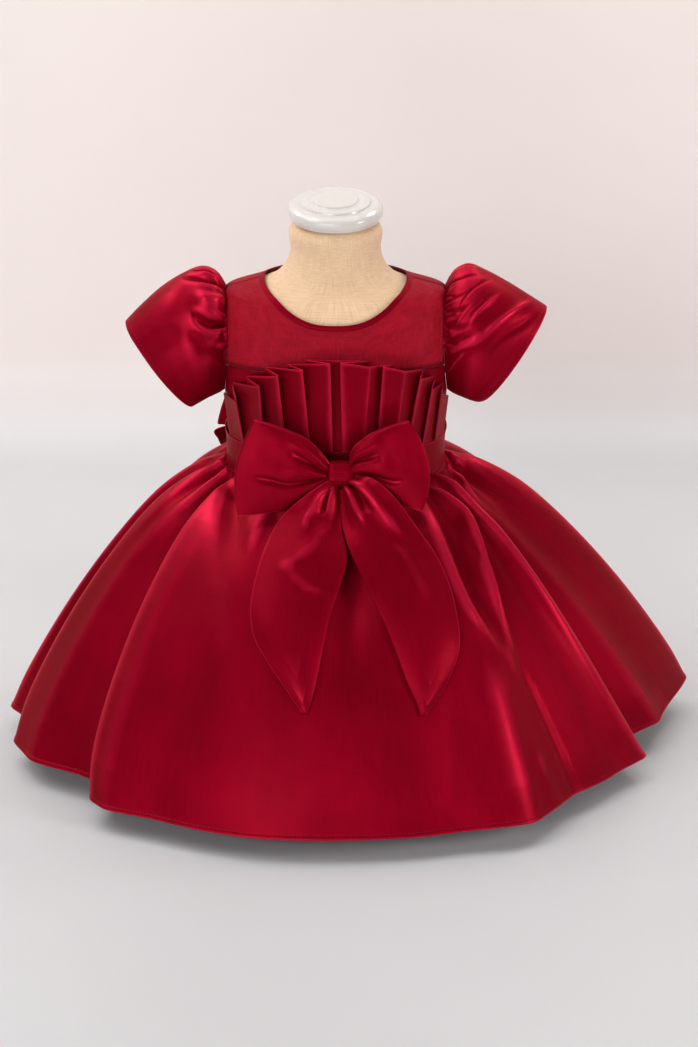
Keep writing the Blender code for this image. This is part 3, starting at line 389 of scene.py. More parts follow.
def build_torso():
    shape, u, v = grid(even(FORM_COLUMNS), even(FORM_ROWS), FORM_CUT)
    angle = math.pi * (2 * u - 1)
    level = lerp(FORM_SECTIONS[0][0], FORM_SECTIONS[-1][0], v)
    inset, shoulder, sunk = columns_of(curve(FORM_SECTIONS, level))
    spread = np.where(np.cos(angle) > 0, *SHOULDER_REACH)
    points = body_point(level, angle, -inset - shoulder * np.abs(np.sin(angle)) ** spread)
    points[:, 2] -= sunk
    place_points(shape, points)
    close_tube(shape)
    finish_piece(link_mesh("torso_linen", shape), make_linen(), "linen", "form_body")


def rounded(profile):
    """A profile's points with each corner cut back to an arc of its roundness."""
    points = [np.array(row[:2], float) for row in profile]
    line = [points[0]]
    for k in range(1, len(points) - 1):
        here, radius = points[k], profile[k][2]
        before = points[k - 1] - here
        after = points[k + 1] - here
        reach = min(radius, np.linalg.norm(before) * 0.48, np.linalg.norm(after) * 0.48)
        if reach < 0.05:
            line.append(here)
            continue
        start = here + before / np.linalg.norm(before) * reach
        end = here + after / np.linalg.norm(after) * reach
        line.extend(corner(start, here, end, ARC_STEPS))
    return line + [points[-1]]


def turned(name, profile, finish, slot, cad_node, seat=0.0, tilt=0.0):
    """A turned piece: a rounded profile of (radius, height) spun round the axis."""
    shape = bmesh.new()
    line = [shape.verts.new((r * MM, 0, z * MM)) for r, z in rounded(profile)]
    edges = [shape.edges.new(pair) for pair in zip(line, line[1:])]
    bmesh.ops.spin(shape, geom=line + edges, cent=(0, 0, 0), axis=(0, 0, 1),
                   angle=2 * math.pi, steps=TURNED_STEPS, use_merge=True)
    bmesh.ops.remove_doubles(shape, verts=shape.verts, dist=MERGE / 2)
    bmesh.ops.rotate(shape, verts=shape.verts, cent=(0, 0, 0),
                     matrix=Matrix.Rotation(tilt, 3, "X"))
    bmesh.ops.translate(shape, verts=shape.verts, vec=(0, 0, seat * MM))
    bmesh.ops.recalc_face_normals(shape, faces=shape.faces)
    piece = link_mesh(name, shape)
    piece.data.set_sharp_from_angle(angle=math.radians(50))
    return finish_piece(piece, finish, slot, cad_node)


def make_lacquer():
    """Sprayed lacquer: glossy, faintly clouded, with a little orange peel."""
    made, tree, shader = new_material("white lacquer")
    cloud = noise(tree, node(tree, "TexCoord", out="Object"), 60.0, 2.0)
    fill(tree, shader, [("Base Color", (*CAP_COLOUR, 1)),
                        ("Roughness", remap(tree, cloud, 0.35, 0.7, 0.10, 0.2)),
                        ("Normal", bump(tree, cloud, 0.08, 0.0004)),
                        ("Coat Weight", 0.5), ("Coat Roughness", 0.08)])
    return made


def make_steel():
    """Steel tube, brushed round, so its grain runs level."""
    made, tree, shader = new_material("brushed steel")
    lines = stretched(tree, node(tree, "TexCoord", out="Object"), BRUSH_LINES)
    rough = remap(tree, noise(tree, lines, 1.0, 2.0), 0.0, 1.0, 0.22, 0.42)
    fill(tree, shader, [("Base Color", (*STEEL_COLOUR, 1)), ("Roughness", rough),
                        ("Metallic", 1.0)])
    return made


build_torso()
lacquer = make_lacquer()
turned("cap_turned", CAP_PROFILE, lacquer, "white_gloss", "neck_cap", CAP_SEAT, CAP_TILT)
turned("pole_turned", POLE_PROFILE, make_steel(), "steel", "stand_pole")
turned("base_turned", BASE_PROFILE, lacquer, "white_gloss", "stand_base")

# ------------------------------------------------------------------ bodice
# Satin front and two backs, cut to the body line and sewn at the sides. They end
# below the sheer yoke and above the waistband.
SATIN_RED, SATIN_DEEP = (0.27, 0.0004, 0.012), (0.17, 0.0002, 0.007)
# painted shade for the hollows of folds, and painted highlight for their crests and turned edges
SATIN_PAINTED_SHADE, SATIN_PAINTED_HIGHLIGHT = (0.045, 0.0, 0.0012), (0.62, 0.012, 0.05)
# streaks of the warp and the weft to a metre, across and along, and puckers to a metre
WARP, WEFT, PUCKERS = (1100, 40, 1), (50, 1000, 1), 34.0
# space left between two pieces at a seam, and the share of a half's width that is used
SEAM_GAP, SEAM_SHARE = 0.4, 0.9999
YOKE_SEAM_CENTRE, YOKE_SEAM_SIDE = 342.0, 338.0
ARMHOLE_CENTRE, ARMHOLE_HALF_HEIGHT, ARMHOLE_HALF_DEPTH = 352.0, 44.0, 29.0
BAND_TOP, BAND_FOOT = 276.0, 246.0
BODICE_CUT, BODICE_BACK_CUT = (250, 66), (122, 66)
CLOTH_WALL = 0.9
# columns of the front, rows, and the share of the panel that its edge spaces have
BODICE_GRID = (64, 28, 0.006)
# where along the panel's top the yoke seam ends and the armhole starts
BODICE_CORNER = 0.6
# how far apart points are compared in mm and how much each counts, for the painted highlight
# on crests and painted shade in hollows, and the width and strength of the painted highlight
# along turned edges
FOLD_REACHES = ((2.5, 1.8), (7.0, 1.3), (16.0, 0.8))
EDGE_WIDTH, EDGE_HIGHLIGHT = 0.9, 0.9


def make_satin():
    """Satin: long warp floats that catch light in soft streaks along the thread.

    Where the attribute "fold" is above 0, on crests and turned edges, a painted highlight
    lightens the colour and the cloth is glossier, and where it is below 0, in the hollows of
    folds, painted shade darkens it."""
    made, tree, shader = new_material("satin")
    flow = node(tree, "UVMap", uv_map="thread")
    fold = node(tree, "Attribute", attribute_name="fold", out="Fac")
    fine = noise(tree, stretched(tree, flow, WARP), 1.0, 3.0, ("Roughness", 0.65))
    weft = noise(tree, stretched(tree, flow, WEFT), 1.0, 2.0)
    tone = maths(tree, "MULTIPLY_ADD", fine, 0.5, noise(tree, flow, 16.0, 3.0))
    shade = blend(tree, remap(tree, tone, 0.4, 0.95), SATIN_DEEP, SATIN_RED)
    # painted shade: the hollows of folds are darkened towards near black
    sunk = blend(tree, remap(tree, fold, 0.0, -1.0, 0.0, 0.85), shade, SATIN_PAINTED_SHADE)
    # painted highlight: crests and turned edges are lightened, and made glossier
    crest_highlight_and_gloss = remap(tree, fold, 0.28, 1.0, 0.0, 0.65)
    grain = remap(tree, fine, 0.3, 0.7, 0.36, 0.50)
    weave = bump(tree, maths(tree, "ADD", fine, weft), 0.45, 0.00018)
    pucker = bump(tree, noise(tree, flow, PUCKERS, 2.0), 0.16, 0.0022, ("Normal", weave))
    fill(tree, shader, [
        ("Base Color", blend(tree, crest_highlight_and_gloss, sunk, SATIN_PAINTED_HIGHLIGHT)),
        ("Roughness", maths(tree, "MULTIPLY_ADD", crest_highlight_and_gloss, -0.16, grain)),
        ("Normal", pucker),
        ("Tangent", node(tree, "Tangent", direction_type="UV_MAP", uv_map="thread")),
        ("Anisotropic", 0.6), ("Metallic", 0.45),
        ("IOR", 1.2), ("Specular Tint", (1.0, 0.12, 0.2, 1)),
        ("Coat Weight", 0.035), ("Coat IOR", 1.3), ("Coat Roughness", 0.25),
        ("Sheen Weight", 0.02), ("Sheen Roughness", 0.35), ("Sheen Tint", (1.0, 0.3, 0.35, 1))])
    return made


def mark_points(shape, name, values):
    """A number on every point of the mesh, which its material reads."""
    layer = shape.verts.layers.float.new(name)
    for vert, value in zip(shape.verts, values):
        vert[layer] = value


def bulge(points, normals, reach, axis):
    """How far points stand above those a reach to both sides of them on the grid."""
    lines, out = (np.moveaxis(table, axis, 0) for table in (points, normals))
    steps = np.linalg.norm(np.diff(lines, axis=0), axis=2)
    spans = np.maximum(steps.mean(axis=0), 1e-6)
    high = np.zeros(lines.shape[:2])
    index = np.arange(len(lines))
    for k, span in enumerate(spans):
        jump = max(1, int(round(reach * MM / span)))
        before, after = np.clip(index - jump, 0, None), np.clip(index + jump, None, index[-1])
        middle = (lines[before, k] + lines[after, k]) / 2
        near = np.minimum(index - before, after - index) == jump
        rise = np.einsum("ij,ij->i", lines[:, k] - middle, out[:, k])
        high[:, k] = np.where(near, rise, 0)
    return np.moveaxis(high, 0, axis) / (reach * MM)


def mark_folds(shape, columns, edges="", strength=1.0):
    """Mark a grid's crests and its named turned edges (l r t b) for painted highlight, and its
    hollows for painted shade.
    """
    shape.normal_update()
    shape.verts.ensure_lookup_table()
    points = np.array([vert.co[:] for vert in shape.verts]).reshape(-1, columns + 1, 3)
    normals = np.array([vert.normal[:] for vert in shape.verts]).reshape(points.shape)
    # above 0 is a crest, given painted highlight; below 0 a hollow, given painted shade
    fold = np.zeros(points.shape[:2])
    for reach, gain in FOLD_REACHES:
        for axis in (0, 1):
            fold += strength * gain * bulge(points, normals, reach, axis)
    across = np.linalg.norm(np.diff(points, axis=1), axis=2)
    down = np.linalg.norm(np.diff(points, axis=0), axis=2)
    sides = {"l": np.pad(np.cumsum(across, axis=1), ((0, 0), (1, 0))),
             "b": np.pad(np.cumsum(down, axis=0), ((1, 0), (0, 0)))}
    sides["r"] = sides["l"][:, -1:] - sides["l"]
    sides["t"] = sides["b"][-1:] - sides["b"]
    for side in edges:
        # painted highlight along the turned edges
        fold = np.maximum(fold, EDGE_HIGHLIGHT * ease(1.6 - sides[side] / (EDGE_WIDTH * MM)))
    mark_points(shape, "fold", np.clip(fold, -1, 1).ravel())


def finish_cloth(shape, name, finish, slot, cad_node, cut, held, under, wall=CLOTH_WALL,
                 side=-1.0, **area):
    """A sheet's thickness, behind its points for side -1, and its material; cut, its flat size,
    is not used.
    """
    piece = link_mesh(name, shape)
    walls = piece.modifiers.new("wall", "SOLIDIFY")
    walls.thickness = wall * MM
    walls.offset = side
    walls.use_quality_normals = True
    finish_piece(piece, finish, slot, cad_node)


def armhole_angle(height, back):
    """Where the armhole's oval crosses the body line at a height, as its angle."""
    share = np.clip((height - ARMHOLE_CENTRE) / ARMHOLE_HALF_HEIGHT, -1, 1)
    depth = ARMHOLE_HALF_DEPTH * np.sqrt(1 - share * share)
    half, front, rear, roundness = columns_of(curve(BODY_SECTIONS, height))
    whole = np.where(back, rear, front)
    turn = np.arccos(np.minimum(1.0, depth / whole) ** (roundness / 2))
    return np.where(back, math.pi - turn, turn)


def bodice_point(share, rise, back):
    """A half bodice, from its centre line (share 0) to the side seam (share 1)."""
    middle = math.pi if back else 0.0
    split = BODICE_CORNER
    seam_turn = armhole_angle(np.array(YOKE_SEAM_SIDE), back)
    underarm = ARMHOLE_CENTRE - ARMHOLE_HALF_HEIGHT
    inner = np.clip(share / split, 0, 1)
    outer = np.sin(np.clip((share - split) / (1 - split), 0, 1) * math.pi / 2)
    level = lerp(YOKE_SEAM_CENTRE, YOKE_SEAM_SIDE, inner ** 2) - SEAM_GAP
    level = np.where(share > split, lerp(YOKE_SEAM_SIDE - SEAM_GAP, underarm, outer), level)
    top = np.where(share > split, armhole_angle(level, back), lerp(middle, seam_turn, inner))
    foot = lerp(middle, math.pi / 2, share)
    height = lerp(BAND_TOP + SEAM_GAP, level, rise)
    return body_point(height, lerp(foot, top, rise))


def mirror_x(points, side):
    return points * np.where(np.asarray(side)[..., None] < 0, (-1, 1, 1), (1, 1, 1))


def panel_grids(point, cuts, columns, rows, edge):
    """A front and two backs: place in the name, mesh, cut, share from the centre, rise."""
    shape, u, v = grid(even(columns, edge / 2), even(rows, edge), cuts[0])
    across = 2 * u - 1
    place_points(shape, mirror_x(point(abs(across) * SEAM_SHARE, v, False), across))
    yield "front", "", shape, cuts[0], abs(across), v
    for side, end in ((-1, "_left"), (1, "_right")):
        shape, u, v = grid(even(columns // 2, edge), even(rows, edge), cuts[1])
        share = u if side < 0 else 1 - u
        points = point(1 - SEAM_SHARE + share * (2 * SEAM_SHARE - 1), v, True)
        place_points(shape, mirror_x(points, side + 0 * u))
        yield "back", end, shape, cuts[1], share, v


def build_bodice(finish):
    cuts = (BODICE_CUT, BODICE_BACK_CUT)
    for part, end, shape, cut, _, _ in panel_grids(bodice_point, cuts, *BODICE_GRID):
        finish_cloth(shape, "bodice_" + part + "_satin" + end, finish, "satin",
                     "bodice_" + part + end, cut, "stretched", "torso_linen")


satin = make_satin()
build_bodice(satin)

# ------------------------------------------------------------------ yoke
# Sheer organza from armhole to armhole, seen against the linen, with a back in two
# halves. The seam allowances at the armholes, shoulders and foot show through it as
# darker bands, and the shoulder seams are overlocked.
NECK_HALF_WIDTH, NECK_FRONT, NECK_BACK = 57.3, 52.4, 40.5
NECK_ROUNDNESS, BACK_ROUNDNESS = 2.7, 2.15
NECK_LOWEST, NECK_HIGHEST = 365.0, 412.0
FRONT_SHOWS, BACK_SHOWS, SIDE_SHOWS = 0.33, 0.16, 0.95
BINDING_WIDTH = 4.0
SHOULDER_TIP, SHOULDER_GAP = 396.0, math.radians(0.55)
NECK_SHARE = 8 / 11
YOKE_CUT, YOKE_BACK_CUT = (196, 74), (98, 74)
YOKE_AREAS = {"front": 0.0112, "back": 0.0056}
YOKE_GRID, HALVINGS = (140, 60, 0.008), 26
ORGANZA_COLOUR, ORGANZA_DEEP = (0.43, 0.007, 0.024), (0.29, 0.003, 0.013)
ORGANZA_DOUBLED = (0.14, 0.0008, 0.007)
# streaks of thread to a metre, the share of the linen they cover, and how it varies
ORGANZA_THREADS = ((2400, 90, 1), (90, 2400, 1))
ORGANZA_COVER, COVER_RANGE = 0.90, 0.06
YOKE_WALL = 0.35
# width of the seam allowances at the armhole and the foot, and of their soft edges
ALLOWANCE, FOOT_ALLOWANCE, ALLOWANCE_EDGE = 5.0, 3.5, 1.2
# the shoulder's and its edge, as shares of the yoke's height, and how dark it is
SHOULDER_ALLOWANCE, SHOULDER_EDGE, SHOULDER_SHADE = 0.06, 0.015, 0.7
THREAD_RED, THREAD_DARK = (0.20, 0.0006, 0.010), (0.05, 0.0003, 0.003)
# length, width, height and pitch of the overlock's loops, and how far they slant
OVERLOCK, OVERLOCK_SLANT = (2.6, 0.42, 0.5, 1.45), 0.55
# where they start and end across the half yoke, how far they stand out, and the width
# of the half yoke
OVERLOCK_ENDS, OVERLOCK_OUT, HALF_YOKE = (NECK_SHARE + 0.01, 0.985), 0.2, 100
# a small step along or across a surface, as a share of it, that shows its direction
SMALL_STEP = 0.004
# stitches made at a time, and a height inside the form that they all face away from
STITCH_BATCH, STITCH_MIDDLE = 25, 300


def make_organza():
    """Plain sheer weave: fine crossed threads, with the linen showing through.

    Where the attribute "doubled" is 1, a seam allowance lies under it."""
    made, tree, shader = new_material("organza")
    thread = node(tree, "UVMap", uv_map="thread")
    doubled = node(tree, "Attribute", attribute_name="doubled", out="Fac")
    lines = [noise(tree, stretched(tree, thread, stretch), 1.0, 2.0)
             for stretch in ORGANZA_THREADS]
    cross = maths(tree, "ADD", *lines)
    watered = noise(tree, thread, 70.0, 2.0, ("Distortion", 1.2))
    summed = maths(tree, "MULTIPLY_ADD", watered, 0.8, cross)
    shade = blend(tree, remap(tree, summed, 1.1, 1.7), ORGANZA_DEEP, ORGANZA_COLOUR)
    cover = remap(tree, cross, 0.75, 1.25, ORGANZA_COVER - COVER_RANGE,
                  ORGANZA_COVER + COVER_RANGE)
    fill(tree, shader, [("Base Color", blend(tree, doubled, shade, ORGANZA_DOUBLED)),
                        ("Alpha", maths(tree, "MAXIMUM", cover, doubled)),
                        ("Normal", bump(tree, summed, 0.2, 0.0002)),
                        ("Roughness", 0.6), ("IOR", 1.15), ("Sheen Weight", 0.05),
                        ("Sheen Tint", (1.0, 0.25, 0.35, 1))])
    return made


def body_height(x, y):
    """The height at which the body line passes over spots near the neck."""
    low, high = np.full(x.shape, NECK_LOWEST), np.full(x.shape, NECK_HIGHEST)
    for _ in range(HALVINGS):
        height = (low + high) / 2
        half, front, back, roundness = columns_of(curve(BODY_SECTIONS, height))
        depth = np.where(y < 0, front, back)
        inside = (abs(x) / half) ** roundness + (abs(y) / depth) ** roundness < 1
        low, high = np.where(inside, height, low), np.where(inside, high, height)
    return low


def neck_spot(angle, width):
    """The neckline, or a line a width outside it: its angle on the body, height."""
    front = np.cos(angle) > 0
    power = 2 / np.where(front, NECK_ROUNDNESS, BACK_ROUNDNESS)
    depth = np.where(front, NECK_FRONT + FRONT_SHOWS * width, NECK_BACK + BACK_SHOWS * width)
    x = (NECK_HALF_WIDTH + SIDE_SHOWS * width) * abs(np.sin(angle)) ** power
    y = depth * abs(np.cos(angle)) ** power
    height = body_height(x, np.where(front, -y, y))
    half, fore, rear, roundness = columns_of(curve(BODY_SECTIONS, height))
    across = (x / half) ** (roundness / 2)
    along = (y / np.where(front, fore, rear)) ** (roundness / 2)
    turn = np.arctan2(across, np.where(front, along, -along))
    return np.copysign(turn, angle), height


def yoke_point(share, rise, back, out=0.0):
    """A half yoke: share 0 is its centre line and 1 the armhole, rise 0 its foot."""
    middle = math.pi if back else 0.0
    seam = math.pi / 2 + (SHOULDER_GAP if back else -SHOULDER_GAP)
    around = np.clip(share / NECK_SHARE, 0, 1) * math.pi / 2
    turn, top = neck_spot(math.pi - around if back else around, BINDING_WIDTH + SEAM_GAP)
    _, start = neck_spot(np.array(math.pi / 2), BINDING_WIDTH + SEAM_GAP)
    beyond = np.clip((share - NECK_SHARE) / (1 - NECK_SHARE), 0, 1)
    top = np.where(share > NECK_SHARE, lerp(start, SHOULDER_TIP, beyond), top)
    turn = np.where(share > NECK_SHARE, seam, turn)
    turn = np.maximum(turn, seam) if back else np.minimum(turn, seam)
    climb = np.sin(rise * math.pi / 2)
    foot_turn = armhole_angle(np.array(YOKE_SEAM_SIDE), back)
    edge = armhole_angle(lerp(YOKE_SEAM_SIDE, SHOULDER_TIP, climb), back)
    straight = lerp(foot_turn, math.pi / 2, climb)
    angle = lerp(lerp(middle, foot_turn, share), turn, climb) + (edge - straight) * share ** 3
    angle = np.maximum(angle, seam) if back else np.minimum(angle, seam)
    foot = lerp(YOKE_SEAM_CENTRE, YOKE_SEAM_SIDE, share ** 2)
    return body_point(lerp(foot, top, climb), angle, out)


def allowance(from_armhole, rise):
    """1 where a seam allowance lies under the yoke, less at its edges and the shoulder."""
    side = ease((ALLOWANCE - from_armhole) / ALLOWANCE_EDGE)
    shoulder = (ease((rise - 1 + SHOULDER_ALLOWANCE) / SHOULDER_EDGE)
                * (from_armhole < (1 - NECK_SHARE) * YOKE_CUT[0] / 2))
    foot = ease((FOOT_ALLOWANCE - rise * YOKE_CUT[1]) / ALLOWANCE_EDGE)
    return np.maximum(side, np.maximum(SHOULDER_SHADE * shoulder, foot))


def make_thread(name, colour):
    """Sewing thread: two plies, twisted, so it is ribbed along its length."""
    made, tree, shader = new_material(name)
    plies = node(tree, "TexWave", ("Vector", node(tree, "TexCoord", out="Object")),
                 ("Scale", 900.0), ("Distortion", 0.4), out="Fac", bands_direction="DIAGONAL")
    shade = blend(tree, plies, tuple(c * 0.6 for c in colour), colour)
    fill(tree, shader, [("Base Color", shade), ("Normal", bump(tree, plies, 0.5, 0.0001)),
                        ("Roughness", 0.5)])
    return made


def sew(name, finish, size, rows):
    """Thread stitches as one piece. A row is its points and one step along and across."""
    shape = bmesh.new()
    long, wide, high, _ = size
    for points, along, across in rows:
        along = unit(along)
        out = unit(np.cross(along, across))
        out *= np.sign(np.sum(out * (points - (0, 0, STITCH_MIDDLE)), axis=1, keepdims=True))
        side = np.cross(out, along)
        for start in range(0, len(points), STITCH_BATCH):
            batch = bmesh.new()
            some = slice(start, start + STITCH_BATCH)
            for spot, way, over, up in zip(points[some] * MM, along[some], side[some], out[some]):
                axes = Matrix((way * long / 2, over * wide / 2, up * high / 2)).transposed()
                place = Matrix.Translation(spot) @ (axes * MM).to_4x4()
                bmesh.ops.create_uvsphere(batch, u_segments=6, v_segments=4, radius=1,
                                          matrix=place)
            sewn = bpy.data.meshes.new(name + "_batch")
            batch.to_mesh(sewn)
            batch.free()
            shape.from_mesh(sewn)
            bpy.data.meshes.remove(sewn)
    return finish_piece(link_mesh(name, shape), finish, "satin")


def build_overlock(finish):
    """The shoulder seams' overlocked allowance, which shows through the organza."""
    rows = []
    steps = int((1 - NECK_SHARE) * HALF_YOKE / OVERLOCK[3]) + 1
    share = np.linspace(*OVERLOCK_ENDS, steps)
    rise = np.full(steps, 1 - SHOULDER_ALLOWANCE)
    for side in (-1, 1):
        here, beside, above = (
            yoke_point(share + on, rise + up, False, OVERLOCK_OUT)
            for on, up in ((0, 0), (SMALL_STEP, 0), (0, SMALL_STEP)))
        along, across = beside - here, above - here
        slant = unit(across) + OVERLOCK_SLANT * unit(along)
        flip = (side, 1, 1)
        rows.append((here * flip, slant * flip, along * flip))
    sew("shoulder_overlock", finish, OVERLOCK, rows)


def build_yoke(finish):
    cuts = (YOKE_CUT, YOKE_BACK_CUT)
    for part, end, shape, cut, share, rise in panel_grids(yoke_point, cuts, *YOKE_GRID):
        mark_points(shape, "doubled", allowance((1 - share) * YOKE_BACK_CUT[0], rise))
        finish_cloth(shape, "yoke_" + part + "_organza" + end, finish, "organza",
                     "yoke_" + part + end, cut, "stretched", "torso_linen", YOKE_WALL,
                     area=YOKE_AREAS[part])


organza = make_organza()
build_yoke(organza)
build_overlock(make_thread("dark overlock thread", THREAD_DARK))

# ------------------------------------------------------------------ neck binding
# A bias strip of satin, folded over the yoke's raw neck edge and sewn down. It runs
# from one side of the centre back, round the front, to the other.

# the half of the strip that shows, the whole strip with its fold, and its area
BINDING_CUT, BINDING_WHOLE, BINDING_AREA = (300, 5), (300, 10), 0.0014
# how far it stands out, and how much less at its two edges
BINDING_ROLL, BINDING_TURN = 1.1, 0.35
BINDING_WALL, BINDING_LAP, BINDING_GAP = 0.5, 0.7, math.radians(0.4)
BINDING_COLUMNS, BINDING_ROWS = 200, 8


def build_binding(finish):
    shape, u, v = grid(even(BINDING_COLUMNS), even(BINDING_ROWS), BINDING_CUT)
    angle = (2 * u - 1) * (math.pi - BINDING_GAP)
    turn, height = neck_spot(abs(angle), (BINDING_WIDTH + BINDING_LAP) * (1 - v))
    roll = BINDING_ROLL - BINDING_TURN * (2 * v - 1) ** 6
    points = body_point(height, turn, roll)
    place_points(shape, mirror_x(points, angle))
    finish_cloth(shape, "neck_binding_satin", finish, "satin", "neck_binding", BINDING_WHOLE,
                 "stretched", "yoke_front_organza", BINDING_WALL, area=BINDING_AREA)


build_binding(satin)

# ------------------------------------------------------------------ waistband
# One strip of satin round the waist, closed at the centre back. The bodice and the
# skirt are sewn into its edges, and a little slack shows in it as low ripples.
BAND_CUT, BAND_STAND = (508, 30), 0.5
BAND_COLUMNS, BAND_ROWS, GIRTH_STEPS = 220, 12, 1441
# depth of the slack, the lengths of its two waves, and how much they mix
BAND_SLACK, SLACK_WAVES, SLACK_MIX = 0.35, (9.0, 31.0), 2.2
# how far its upper edge stands off at the sides and back, from where, over what length
BAND_RIM, RIM_START, RIM_RUN = 1.6, 40, 30


def girth_line(height):
    """The body line at a height by its girth from the centre front."""
    angles = np.linspace(-math.pi, math.pi, GIRTH_STEPS)
    points = body_point(np.full(angles.shape, height), angles)[:, :2]
    steps = np.linalg.norm(np.diff(points, axis=0), axis=1)
    girth = np.concatenate(([0], np.cumsum(steps)))
    girth -= girth[len(angles) // 2]
    along = np.gradient(points, girth, axis=0)
    out = np.column_stack((along[:, 1], -along[:, 0]))
    return girth, points, unit(out)


def at_girth(height, girth, out=0.0):
    """Points of the body line at one height, by their girth from the centre front."""
    line, points, outward = girth_line(height)
    flat = [np.interp(girth, line, points[:, k]) + out * np.interp(girth, line, outward[:, k])
            for k in (0, 1)]
    return np.stack(np.broadcast_arrays(*flat, height), axis=-1)


def build_waistband(finish):
    shape, u, v = grid(even(BAND_COLUMNS, 0.002), even(BAND_ROWS, 0.03), BAND_CUT)
    reach = girth_line(BAND_FOOT)[0][-1] - SEAM_GAP / 2
    girth = (2 * u - 1) * reach
    wave = np.sin(girth / SLACK_WAVES[0] + SLACK_MIX * np.sin(girth / SLACK_WAVES[1]))
    slack = BAND_SLACK * wave * np.sin(math.pi * v)
    slack += BAND_RIM * v ** 5 * ease((abs(girth) - RIM_START) / RIM_RUN)
    low, high = at_girth(BAND_FOOT, girth, BAND_STAND), at_girth(BAND_TOP, girth, BAND_STAND)
    points = lerp(low, high, v[:, None])
    points += unit(points * (1, 1, 0)) * slack[:, None]
    place_points(shape, points)
    # painted highlight on crests and turned edges, painted shade in hollows
    mark_folds(shape, BAND_COLUMNS, "tb")
    finish_cloth(shape, "waistband_satin", finish, "satin", "waistband", BAND_CUT, "stretched",
                 "torso_linen")


build_waistband(satin)

# ------------------------------------------------------------------ fan ruffle
# A doubled strip of satin, pressed into upright knife pleats that face the centre,
# sewn in under the waistband and standing clear of the yoke.

# across, depth, height, girth at the foot, stand-off at the foot
FAN_FOLDS = (
    (-91.6, -24, 312, -101, 1.4),
    (-80.0, -58, 315, -75, 4.6),
    (-84.6, -40, 327, -84, 1.4),
    (-60.0, -75, 334, -55, 4.6),
    (-73.8, -51, 336, -64, 1.4),
    (-44.8, -82, 346, -37, 4.6),
    (-57.8, -61, 347, -46, 1.4),
    (-24.8, -85, 352, -18, 4.6),
    (-39.5, -66, 351, -27, 1.4),
    (-2.2, -86, 358, 0.2, 5.6),
    (-25.0, -67, 355, -12, 1.4),
    (27.0, -67, 354, 15, 1.4),
    (3.4, -86, 359, 4.2, 5.6),
    (27.5, -85, 355, 22, 4.6),
    (48.0, -66, 351, 39, 1.4),
    (38.0, -84, 355, 32, 4.6),
    (56.0, -78, 349, 47, 4.2),
    (71.5, -55, 343, 62, 1.4),
    (68.0, -71, 340, 55, 4.6),
    (81.6, -45, 334, 78, 1.4),
    (77.5, -61, 327, 70, 4.6),
    (88.6, -34, 325, 92, 1.4),
    (85.5, -49, 320, 84, 4.4),
    (92.4, -19, 308, 106, 1.4),
)
FAN_FOOT, FAN_WALL, FOLD_WIDTH = 0.9, 1.1, 1.3
FAN_FACE_STEPS, FAN_FOLD_STEPS, FAN_ROWS = 8, 5, 40
FAN_CUT, FAN_AREA = (620, 80), 0.03
# how much stronger than on the rest of the cloth the painted highlight and shade of its folds are
FAN_FOLD_LIGHT = 1.9


def fan_line(points):
    """A line through the folds, with each corner rounded to the fold's width."""
    here = [points[0]]
    for before, fold, after in zip(points, points[1:], points[2:]):
        back, on = before - fold, after - fold
        back_run, on_run = (np.linalg.norm(way[:2]) for way in (back, on))
        spread = np.linalg.norm((back / back_run - on / on_run)[:2])
        reach = min(FOLD_WIDTH / max(spread, 0.25), 0.4 * back_run, 0.4 * on_run)
        start, end = fold + back / back_run * reach, fold + on / on_run * reach
        face = np.linspace(0, 1, FAN_FACE_STEPS + 1)[1:-1, None]
        here.extend(lerp(here[-1], start, face))
        here.extend(corner(start, fold, end, FAN_FOLD_STEPS))
    face = np.linspace(0, 1, FAN_FACE_STEPS + 1)[1:, None]
    here.extend(lerp(here[-1], points[-1], face))
    return np.array(here)


def build_fan(finish):
    """The strip from fold to fold, between its seam on the waistband and its top."""
    low = [at_girth(BAND_TOP + FAN_FOOT, girth, out) for _, _, _, girth, out in FAN_FOLDS]
    high = [np.array(row[:3], float) for row in FAN_FOLDS]
    rises = even(FAN_ROWS, 0.008)
    rows = [fan_line([lerp(a, b, rise) for a, b in zip(low, high)]) for rise in rises]
    rows = np.array(rows)
    columns = rows.shape[1] - 1
    shape, u, v = grid(even(columns), rises, FAN_CUT)
    column = np.rint(u * columns).astype(int)
    row = np.searchsorted(rises, v - 1e-9)
    place_points(shape, rows[row, column])
    # painted highlight on crests and turned edges, painted shade in hollows
    mark_folds(shape, columns, "t", FAN_FOLD_LIGHT)
    finish_cloth(shape, "fan_ruffle_satin", finish, "satin", "fan_ruffle", FAN_CUT, "folded",
                 "bodice_front_satin", FAN_WALL, 0.0, area=FAN_AREA)


build_fan(satin)

# ------------------------------------------------------------------ skirt
# Three panels of satin, gathered on to the waistband. The weight of the cloth draws
# it out into large cones that fold at the hem, and a narrow hem is stitched up.

# share of the spread, share of the fall
SKIRT_LINE = (
    (0.00, 0.000), (0.06, 0.008), (0.16, 0.040), (0.33, 0.147),
    (0.53, 0.342), (0.73, 0.580), (0.91, 0.836), (1.00, 1.000),
)
